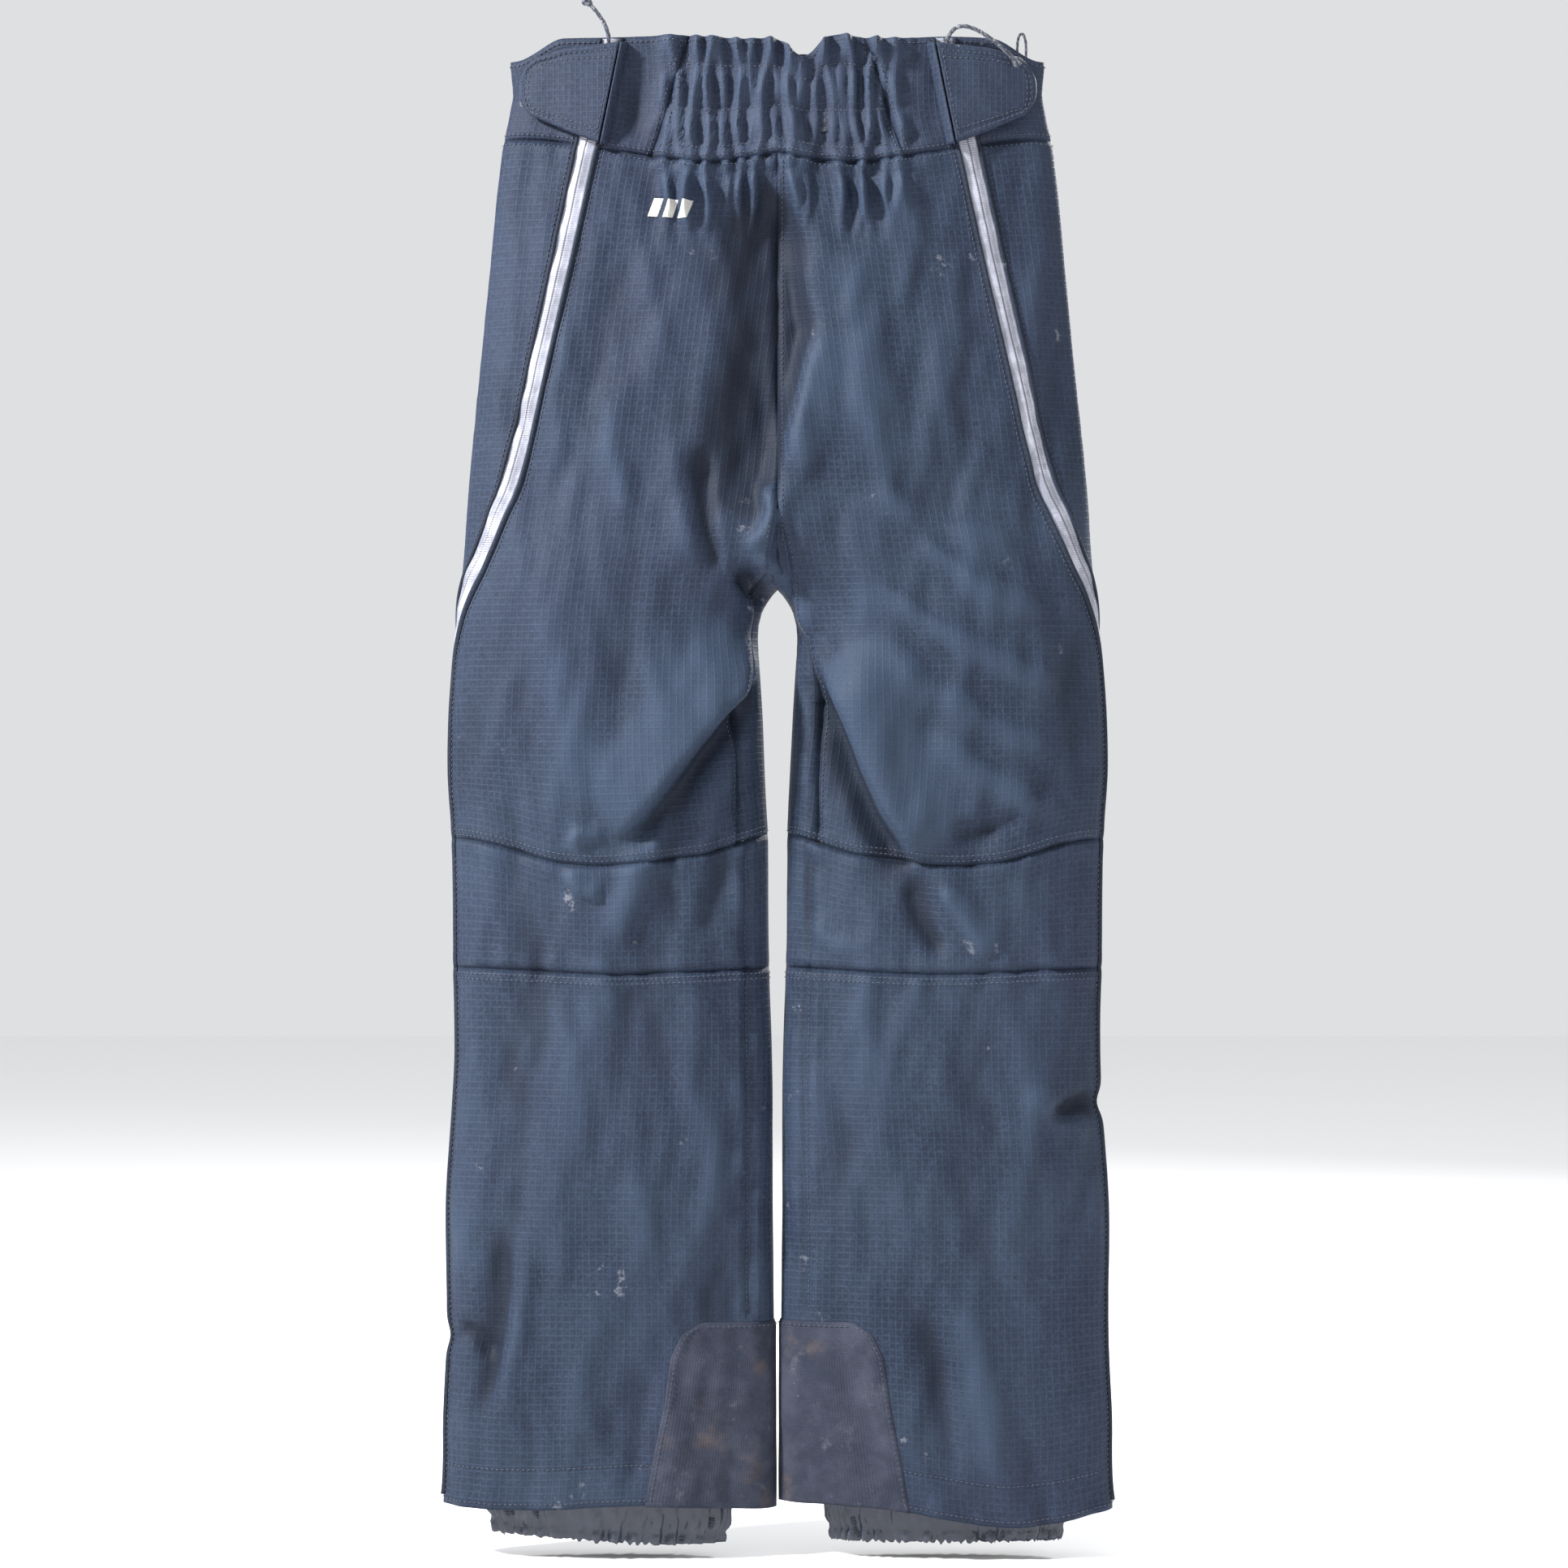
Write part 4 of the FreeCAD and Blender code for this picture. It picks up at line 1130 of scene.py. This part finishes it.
def drop_on(tree, x, z, facing):
    """The surface's y under each spot, seen from facing * y. A spot off it takes the nearest found y."""
    y = np.full(x.shape, np.nan)
    for i in np.ndindex(x.shape):
        hit = tree.ray_cast((x[i], facing, z[i]), (0, -facing, 0))[0]
        if hit is not None:
            y[i] = hit.y
    found = ~np.isnan(y)
    known = np.stack([x[found], z[found]], 1)
    for i in np.argwhere(~found):
        i = tuple(i)
        y[i] = y[found][np.argmin(((known - (x[i], z[i])) ** 2).sum(1))]
    return y


def laid_on(name, node, facing, material, thickness, soft, rows, columns, lift=None):
    """A soft-edged sheet over one CAD node's outer face. lift gives a height in metres from (x, z, rim)."""
    low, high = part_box(node)
    inset = Vector(((high.x - low.x) * 0.01, 0, (high.z - low.z) * 0.01))
    x, z, rim = rounded(rows, columns, low + inset, high - inset, soft)
    y = drop_on(solid_tree([node]), x, z, facing)
    rise = lift(x, z, rim) if lift else 0 * x
    rise = rise - thickness * 0.6 * (1 - smooth(rim, 0, 0.08))
    points = np.stack([x, y + facing * rise, z], -1).reshape(-1, 3)
    faces = turned(points, grid_faces(rows, columns, flip=facing > 0), (0, facing, 0))
    piece = make(name, points, faces, material, flat_uv(x, z), ridge=np.zeros(len(points)))
    return thicken(piece, thickness), points.reshape(rows, columns, 3)


def turned(points, faces, way):
    """The faces, flipped if need be so that they look the given way."""
    a, b, c = (points[faces[:, i]] for i in range(3))
    return faces[:, ::-1] if (np.cross(b - a, c - a) @ np.array(way)).sum() < 0 else faces


def flat_stitches(name, lines, facing, material, lift=0.0004):
    """Stitches along lines of points that face one way along y."""
    way = np.array([0.0, facing, 0.0])
    sewn = [(line + way * lift, np.tile(way, (len(line), 1))) for line in lines]
    return make(name, *stitch_mesh(sewn), material)


# A tab's upper and lower edges, seen from the back: where they bend, and their heights there.
TAB_TOP = np.array([(111, -4.6), (150, -8.0), (170, -13.5), (184, -22)])
TAB_FOOT = np.array([(111, -77), (127, -75.4), (147, -67.6), (172, -56), (184, -49)])
TAB_TIP = 183.4
TAB_ROWS, TAB_COLUMNS = 44, 72


def tab_start(down):
    """Where the tab starts, at each share of the way down its seam."""
    return TAB_SEAM[0] + 0.0018 + (TAB_SEAM[1] - TAB_SEAM[0]) * down


def build_tab(side, sign):
    """One waist tab: two layers of band cloth with a stitched edge. Gives back its grid of points."""
    node = f"waist_tab_{side}"
    shares = (np.linspace(0, 1, n) for n in (TAB_ROWS, TAB_COLUMNS))
    v, u = np.meshgrid(*shares, indexing="ij")
    tip = (TAB_TIP - 8 * np.abs(2 * v - 1) ** 3.2) * MM
    out = tab_start(v) + (tip - tab_start(v)) * u
    top, low = (np.interp(out / MM, *edge.T) * MM for edge in (TAB_TOP, TAB_FOOT))
    z = top + (low - top) * v
    y = drop_on(solid_tree([node]), sign * out, z, -1)
    for _ in range(6):
        y[1:-1, 1:-1] = (y[:-2, 1:-1] + y[2:, 1:-1] + y[1:-1, :-2] + y[1:-1, 2:]) / 4
    rim = np.minimum(np.minimum(v * (top - low), (1 - v) * (top - low)), tip - out)
    ripple = waves(out / MM, z / MM, 61 + sign, 8, 16, 34, 1.5)
    puff = 0.5 * bump(rim, 0.0025, 0.0016) - 0.55 * bump(rim, 0.0052, 0.0010) + 0.28 * ripple
    puff = puff - 0.9 * (1 - smooth(rim, 0, 0.0014)) + 0.5
    grid = np.stack([sign * out, y - puff * MM, z], -1)
    points = grid.reshape(-1, 3)
    faces = turned(points, grid_faces(TAB_ROWS, TAB_COLUMNS), (0, -1, 0))
    # The tab's puff drives painted highlight on its raised border and painted shade at its crease and edge.
    piece = make(f"{node}_cloth", points, faces, BAND_CLOTH, flat_uv(out, z), ridge=puff * 0.8)
    settle(thicken(piece, TAB_THICK), node, "shell_cloth", node)

    lines = []
    for inset in (0.0052, 0.0088):
        across = int(round(inset / 0.066 * TAB_ROWS))
        end = int(round((1 - inset / 0.068) * TAB_COLUMNS))
        lines += [grid[row, 2:end] for row in (across, TAB_ROWS - 1 - across)]
        lines.append(grid[across : TAB_ROWS - across, end])
    lines.append(grid[3:-3, 3])
    settle(flat_stitches(f"{node}_stitches", lines, -1, THREAD, 0.0003), node, "thread")
    return grid


# Across the fold at the tab's seam: how far each column is from it, and its share of the tab's height.
FOLD_ACROSS = np.array([-7.0, -6.0, -4.5, -2.5, -1.6, -1.2, -1.1]) * MM
FOLD_SHARES = np.array([0.0, 0.15, 0.75, 1.0, 1.0, 0.9, 0.0])


def build_tab_fold(side, sign, grid):
    """The band cloth's fold that the tab is sewn into, rising to the tab's inner end."""
    down = np.linspace(0, 1, 40)
    x = sign * (tab_start(down)[:, None] + FOLD_ACROSS[None])
    z = np.repeat(((-4.6 - 72 * down) * MM)[:, None], len(FOLD_ACROSS), 1)
    tab_y = np.interp(down, np.linspace(0, 1, TAB_ROWS), grid[:, 0, 1])[:, None]
    base = cloth(side, theta_at(side, np.abs(x), z), z)[0][..., 1]
    y = base + (tab_y - base) * FOLD_SHARES[None]
    points = np.stack([x, y, z], -1).reshape(-1, 3)
    faces = turned(points, grid_faces(*x.shape), (0, -1, 0))
    node = f"waist_tab_fold_{side}"
    fold = make(f"{node}_cloth", points, faces, BAND_CLOTH, flat_uv(x, z), ridge=0 * x)
    settle(thicken(fold, TAB_FOLD_THICK), "trousers", "shell_cloth", node)


def build_tabs():
    """The waist tabs, the folds they are sewn into, and the hook and loop that hold them."""
    nap = lambda x, z, rim: 0.00025 * waves(x / MM, z / MM, 71, 12, 2.4, 5, 1.2)
    for side, sign in SIDES.items():
        build_tab_fold(side, sign, build_tab(side, sign))
        node = f"waist_tab_hook_{side}"
        hook, _ = laid_on(f"{node}_pile", node, -1, PILE, 0.0009, 0.3, 26, 26, nap)
        settle(hook, f"waist_tab_{side}", "hook_loop", node)
        node = f"waist_tab_loop_{side}"
        loop, grid = laid_on(f"{node}_pile", node, -1, PILE, 0.0006, 0.3, 26, 26, nap)
        settle(loop, "trousers", "hook_loop", node)
        edge = [grid[2], grid[-3], grid[:, 2], grid[:, -3]]
        settle(flat_stitches(f"{node}_stitches", edge, -1, THREAD), "trousers", "thread")


MARK_BARS, MARK_ROWS, MARK_ACROSS = 3, 46, 14
STRAND = np.array([(0, 0, -0.15), (0, -0.2, 0), (0, 0, 0.15)]) * MM


def build_mark():
    """Three slanted satin-stitch bars on the left back hip, in place of any lettering."""
    low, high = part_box("stitched_mark")
    swell = 0.0009 * np.sqrt(np.maximum(0, 1 - np.linspace(-1, 1, MARK_ACROSS) ** 2)) + 0.0002
    points, faces = [], []
    for bar in range(MARK_BARS):
        start = low.x + 0.0035 + bar * 0.0105
        for share in np.linspace(0, 1, MARK_ROWS):
            heights = np.full(MARK_ACROSS, low.z + 0.003 + share * (high.z - low.z - 0.006))
            x = start + np.linspace(0, 0.0072, MARK_ACROSS) + 0.0045 * share
            row, normal, _ = cloth("left", theta_at("left", -x, heights), heights)
            strand = ((row + normal * swell[:, None])[None] + STRAND[:, None]).reshape(-1, 3)
            strand_faces = turned(strand, grid_faces(len(STRAND), MARK_ACROSS), (0, -1, 0))
            faces.append(strand_faces + len(strand) * len(points))
            points.append(strand)
    mark = make("stitched_mark_thread", np.concatenate(points), np.concatenate(faces), THREAD_LIGHT)
    settle(thicken(mark, THREAD_THICK), "trousers", "thread", "stitched_mark")


def tube(name, path, radius, material, around, wave, closed=False):
    """A tube along a path. wave gives the radius's share at (turn, distance)."""
    ahead = np.roll(path, -1, 0) - np.roll(path, 1, 0) if closed else np.gradient(path, axis=0)
    ahead /= np.linalg.norm(ahead, axis=1, keepdims=True)
    up = np.array([0.0, -1.0, 0.15])
    sides = []
    for way in ahead:
        up = up - way * (up @ way)
        up /= np.linalg.norm(up)
        sides.append((up.copy(), np.cross(way, up)))
    turn = np.linspace(0, 2 * math.pi, around, endpoint=False)
    rows = []
    for centre, (a, b), s in zip(path, sides, arc_of(path)):
        r = radius * wave(turn, s)
        rows.append(centre + (np.cos(turn) * r)[:, None] * a + (np.sin(turn) * r)[:, None] * b)
    points = np.concatenate(rows)
    faces = grid_faces(len(path), around, around=True)
    if closed:
        first = np.arange(around)
        last = first + (len(path) - 1) * around
        faces = np.concatenate([faces, np.stack([last, np.roll(last, -1), np.roll(first, -1), first], 1)])
    faces = faces.tolist()
    if not closed:
        faces += [list(range(around))[::-1], list(range(len(points) - around, len(points)))]
    return make(name, points, faces, material)


BRAID_PITCH = 0.0052


def braid(turn, s):
    """A braid's crossing ridges, as a share of the cord's radius."""
    a = np.cos(4 * turn + 2 * math.pi * s / BRAID_PITCH)
    b = np.cos(4 * turn - 2 * math.pi * s / BRAID_PITCH)
    return 0.90 + 0.10 * np.maximum(a, b)


# The pull cords' control points in millimetres, the same as in the CAD, from the slider outwards.
CORD_ROUTES = {
    "left": [(-119, -25.6, -5.1), (-117.5, -27.5, 7), (-132, -28.5, 22)],
    "right": [(119, -25.6, -5.1), (122.5, -28.5, 9), (146, -30.5, 3), (167, -25, -16)],
}
CORD_DIAMETER = 0.003
KNOT_RADIUS, KNOT_GAP = 0.00158, 0.0026


def routed(name, points):
    """The smooth line of a cord's route, as a list of close points."""
    curve = bpy.data.curves.new(name, "CURVE")
    curve.dimensions = "3D"
    curve.resolution_u = 24
    spline = curve.splines.new("NURBS")
    spline.points.add(len(points) - 1)
    for point, place in zip(spline.points, points):
        point.co = (*(c * MM for c in place), 1)
    spline.order_u = 3
    spline.use_endpoint_u = True
    thin = bpy.data.objects.new(name, curve)
    bpy.context.scene.collection.objects.link(thin)
    bpy.context.view_layer.update()
    mesh = bpy.data.meshes.new_from_object(thin.evaluated_get(bpy.context.evaluated_depsgraph_get()))
    line = np.array([v.co for v in mesh.vertices])
    bpy.data.objects.remove(thin)
    bpy.data.meshes.remove(mesh)
    return line


def resampled(line, step):
    """The line with even steps, and its length."""
    arc = arc_of(line)
    return along_arc(np.linspace(0, arc[-1], max(8, int(arc[-1] / step))), arc, line), arc[-1]


def knot_path(end, way):
    """A trefoil's line, just past the end of a cord that runs a given way."""
    flat = np.cross(way, (0, 1, 0))
    flat /= np.linalg.norm(flat)
    turns = np.linspace(0, 2 * math.pi, 150, endpoint=False)
    u = (np.sin(turns) + 2 * np.sin(2 * turns)) * 0.88
    v = (np.cos(turns) - 2 * np.cos(2 * turns)) * 0.88
    w = -np.sin(3 * turns) * 1.15
    spread = u[:, None] * flat + v[:, None] * way + w[:, None] * np.cross(way, flat)
    return end + way * KNOT_GAP + spread * MM


def build_cords():
    """Pull cords on the zip sliders: a braided cord that ends in a knot."""
    for side in SIDES:
        path, length = resampled(routed(f"pull_cord_{side}_route", CORD_ROUTES[side]), 0.0004)
        cord = tube(f"pull_cord_{side}_braid", path, CORD_DIAMETER / 2, CORD, 24, braid)
        way = path[-1] - path[-2]
        line = knot_path(path[-1], way / np.linalg.norm(way))
        knot = tube(f"pull_knot_{side}_cord", line, KNOT_RADIUS, CORD, 20, braid, closed=True)
        settle(knot, f"zip_slider_{side}", "cord", f"pull_knot_{side}")
        settle(cord, f"zip_slider_{side}", "cord", f"pull_cord_{side}")
        tuple(path[0])
        [tuple(p) for p in path]


LOOP_TALL, LOOP_HALF_WIDE, LOOP_RADIUS = 0.034, 0.0042, 0.001


def build_hanger_loop():
    """The narrow loop of cord that stands up behind the waistband."""
    low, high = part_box("hanger_loop")
    turn = np.linspace(0, 2 * math.pi, 90, endpoint=False)
    ring = np.stack(
        [
            low.x + 0.0025 + LOOP_HALF_WIDE * np.cos(turn) * (0.7 + 0.3 * np.sin(turn)),
            low.y + 0.0002 + 0.0005 * np.sin(2 * turn),
            high.z - 0.001 - LOOP_TALL / 2 + LOOP_TALL / 2 * np.sin(turn),
        ],
        1,
    )
    loop = tube("hanger_loop_cord", ring, LOOP_RADIUS, CORD, 14, braid, closed=True)
    settle(loop, "trousers", "cord", "hanger_loop")


def lathe(name, centre, profile, material, around=48):
    """A round piece turned about y that faces +y. profile is a list of (radius, height), outwards."""
    turn = np.linspace(0, 2 * math.pi, around, endpoint=False)
    across, up = np.cos(turn), np.sin(turn)
    rows = [
        np.stack([centre.x + r * across, np.full(around, centre.y + h), centre.z + r * up], 1)
        for r, h in profile
    ]
    points = np.concatenate(rows)
    faces = turned(points, grid_faces(len(profile), around, around=True), (0, 1, 0)).tolist()
    return make(name, points, faces + [list(range(around))[::-1]], material)


# The fly's coil: the distance between teeth, and each tooth's rings as (x, half width, height) shares.
COIL_PITCH, RING_POINTS = 0.0016, 10
TOOTH = ((-0.0006, 0.0005, 0.7), (0.0009, 0.0008, 1.0), (0.0022, 0.0004, 0.5))


def build_fly():
    """The fly's tape, its stitching and its coil, a row of teeth that point left and right in turn."""
    flat = lambda x, z, rim: 0.0004 + 0 * x
    tape, grid = laid_on("fly_tape_cloth", "fly_tape", 1, PIPING, 0.0009, 0.06, 120, 16, flat)
    settle(tape, "trousers", "zip_tape", "fly_tape")
    rows = [grid[2:-2, 2], grid[2:-2, -3]]
    settle(flat_stitches("fly_tape_stitches", rows, 1, THREAD), "trousers", "thread")

    low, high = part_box("fly_coil")
    tree = solid_tree(["fly_coil"])
    turn = np.linspace(0, 2 * math.pi, RING_POINTS, endpoint=False)
    ends = [list(range(RING_POINTS))[::-1], list(range(2 * RING_POINTS, 3 * RING_POINTS))]
    tooth = grid_faces(len(TOOTH), RING_POINTS, around=True).tolist() + ends
    points, faces = [], []
    count = int((high.z - low.z) / COIL_PITCH)
    for i in range(count):
        z = low.z + 0.001 + (high.z - low.z - 0.002) * (i + 0.5) / count
        y = tree.ray_cast((0, 1, z), (0, -1, 0))[0].y + 0.0003
        hand = 1 if i % 2 else -1
        for x, wide, tall in TOOTH:
            ring = [np.full(RING_POINTS, hand * x), y - 0.0008 + tall * 0.0009 * np.cos(turn)]
            points.append(np.stack([*ring, z + wide * 1.1 * np.sin(turn)], 1))
        faces += [[3 * RING_POINTS * i + j for j in face[::hand]] for face in tooth]
    teeth = make("fly_coil_teeth", np.concatenate(points), faces, DARK_METAL)
    settle(teeth, "trousers", "zip_tape", "fly_coil")


# The snap's parts: the body each rides on, and its profile as (share of the radius, height in metres).
SNAP = {
    "snap_cap": (
        "closure_flap",
        [(0.4, 0.0005), (0.62, 0.0012), (0.86, 0.0010), (0.97, 0.0002), (1, -0.0012)],
    ),
    "snap_socket": (
        "closure_flap",
        [(0.3, -0.0008), (0.4, 0.0), (0.8, 0.0002), (0.97, -0.0002), (1, -0.0014)],
    ),
    "snap_stud": (
        "trousers",
        [(0.26, -0.0001), (0.34, -0.0010), (0.8, -0.0014), (0.95, -0.0018), (1, -0.0034)],
    ),
}


def build_closure():
    """The waistband's flap with its stitched edge, the fold it hinges on, and the snap."""

    def fabric(x, z, rim):
        return 0.0003 * waves(x / MM, z / MM, 91, 8, 12, 26, 1.3) - 0.0004 * bump(rim, 0.14, 0.04)

    flap, grid = laid_on("closure_flap_cloth", "closure_flap", 1, BAND_CLOTH, 0.0018, 0.12, 40, 40, fabric)
    settle(flap, "closure_flap", "shell_cloth", "closure_flap")
    edge = [grid[3, 3:-3], grid[-4, 3:-3], grid[3:-3, 3], grid[3:-3, -4]]
    settle(flat_stitches("closure_flap_stitches", edge, 1, THREAD), "closure_flap", "thread")
    fold, grid = laid_on("closure_fold_cloth", "closure_fold", 1, BAND_CLOTH, 0.0018, 0.3, 40, 8)
    settle(fold, "trousers", "shell_cloth", "closure_fold")
    settle(flat_stitches("closure_fold_stitches", [grid[3:-3, 4]], 1, THREAD), "trousers", "thread")
    for node, (body, profile) in SNAP.items():
        low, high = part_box(node)
        centre = Vector(((low.x + high.x) / 2, high.y, (low.z + high.z) / 2))
        half = (high.x - low.x) / 2
        piece = lathe(f"{node}_metal", centre, [(r * half, h) for r, h in profile], STEEL)
        settle(thicken(piece, METAL_THICK), body, "snap_metal", node)


def build_inner_elastic():
    """The wide elastic sewn inside the back of the waistband."""
    node = "inner_elastic"

    def ribs(x, z, rim):
        return 0.0007 * np.sin(z / 0.00085) * 0.5 + 0.0009 * np.sin(x / 0.0021 + 2 * np.sin(x / 0.013))

    band, grid = laid_on(f"{node}_band", node, 1, ELASTIC_RIB, 0.0011, 0.03, 90, 240, ribs)
    settle(band, "trousers", "elastic", node)
    lines = [grid[4, 3:-3], grid[-5, 3:-3], grid[45, 3:-3]]
    settle(flat_stitches(f"{node}_stitches", lines, 1, THREAD), "trousers", "thread")


def finish_metal():
    """The sliders and the fly's puller are shown as the CAD made them."""
    for node in ("zip_slider_left", "zip_slider_right", "fly_slider", "fly_puller"):
        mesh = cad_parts[node].data
        mesh.materials.clear()
        mesh.materials.append(DARK_METAL)


# ---------------------------------------------------------------- the object


build_shell()
build_stitching()
build_zips()
build_ankles()
build_gaiters()
build_tabs()
build_mark()
build_cords()
build_hanger_loop()
build_fly()
build_closure()
build_inner_elastic()
finish_metal()


# ---------------------------------------------------------------- floor, light and camera


# The lamps: place, size and power.
LAMPS = {
    "key_light": ((-2.2, -1.3, 1.3), 0.35, 210),
    "side_light": ((1.9, -1.2, 0.1), 0.5, 6),
    "back_light": ((1.4, 2.2, 0.8), 0.6, 70),
}
FLOOR_HALF = (6, 7)
FLOOR_GAP = 0.012
SKY_COLOUR, SKY_STRENGTH = (0.97, 0.98, 1.0, 1), 0.76
CAMERA_PLACE, LENS_LENGTH, SENSOR_WIDE = (0.0046, -3.4, -0.5267), 110, 36


def studio():
    """A pale floor, soft light from the upper left, and the camera square to the back."""
    low, high = CAD_BOX
    shader = Shader("studio_floor", 0.9)
    shader.surface.inputs["Base Color"].default_value = (0.90, 0.90, 0.90, 1)
    wide, deep = FLOOR_HALF
    corners = [(-wide, -deep, 0), (wide, -deep, 0), (wide, deep, 0), (-wide, deep, 0)]
    floor = make("studio_floor", corners, [(0, 1, 2, 3)], shader.material)
    floor.location.z = low.z - FLOOR_GAP

    world = bpy.data.worlds.new("studio_world")
    bpy.context.scene.world = world
    world.use_nodes = True
    sky = world.node_tree.nodes["Background"]
    sky.inputs["Color"].default_value = SKY_COLOUR
    sky.inputs["Strength"].default_value = SKY_STRENGTH
    bpy.context.scene.view_settings.view_transform = "Standard"

    middle = Vector((0.0, 0.0, (low.z + high.z) / 2))
    for name, (place, size, power) in LAMPS.items():
        data = bpy.data.lights.new(name, "AREA")
        data.size = size
        data.energy = power
        lamp = bpy.data.objects.new(name, data)
        bpy.context.scene.collection.objects.link(lamp)
        lamp.location = place
        lamp.rotation_euler = (middle - lamp.location).to_track_quat("-Z", "Y").to_euler()

    lens = bpy.data.cameras.new("camera")
    lens.sensor_width = SENSOR_WIDE
    lens.lens = LENS_LENGTH
    camera = bpy.data.objects.new("camera", lens)
    bpy.context.scene.collection.objects.link(camera)
    camera.location = CAMERA_PLACE
    camera.rotation_euler = (math.pi / 2, 0, 0)
    bpy.context.scene.camera = camera


studio()
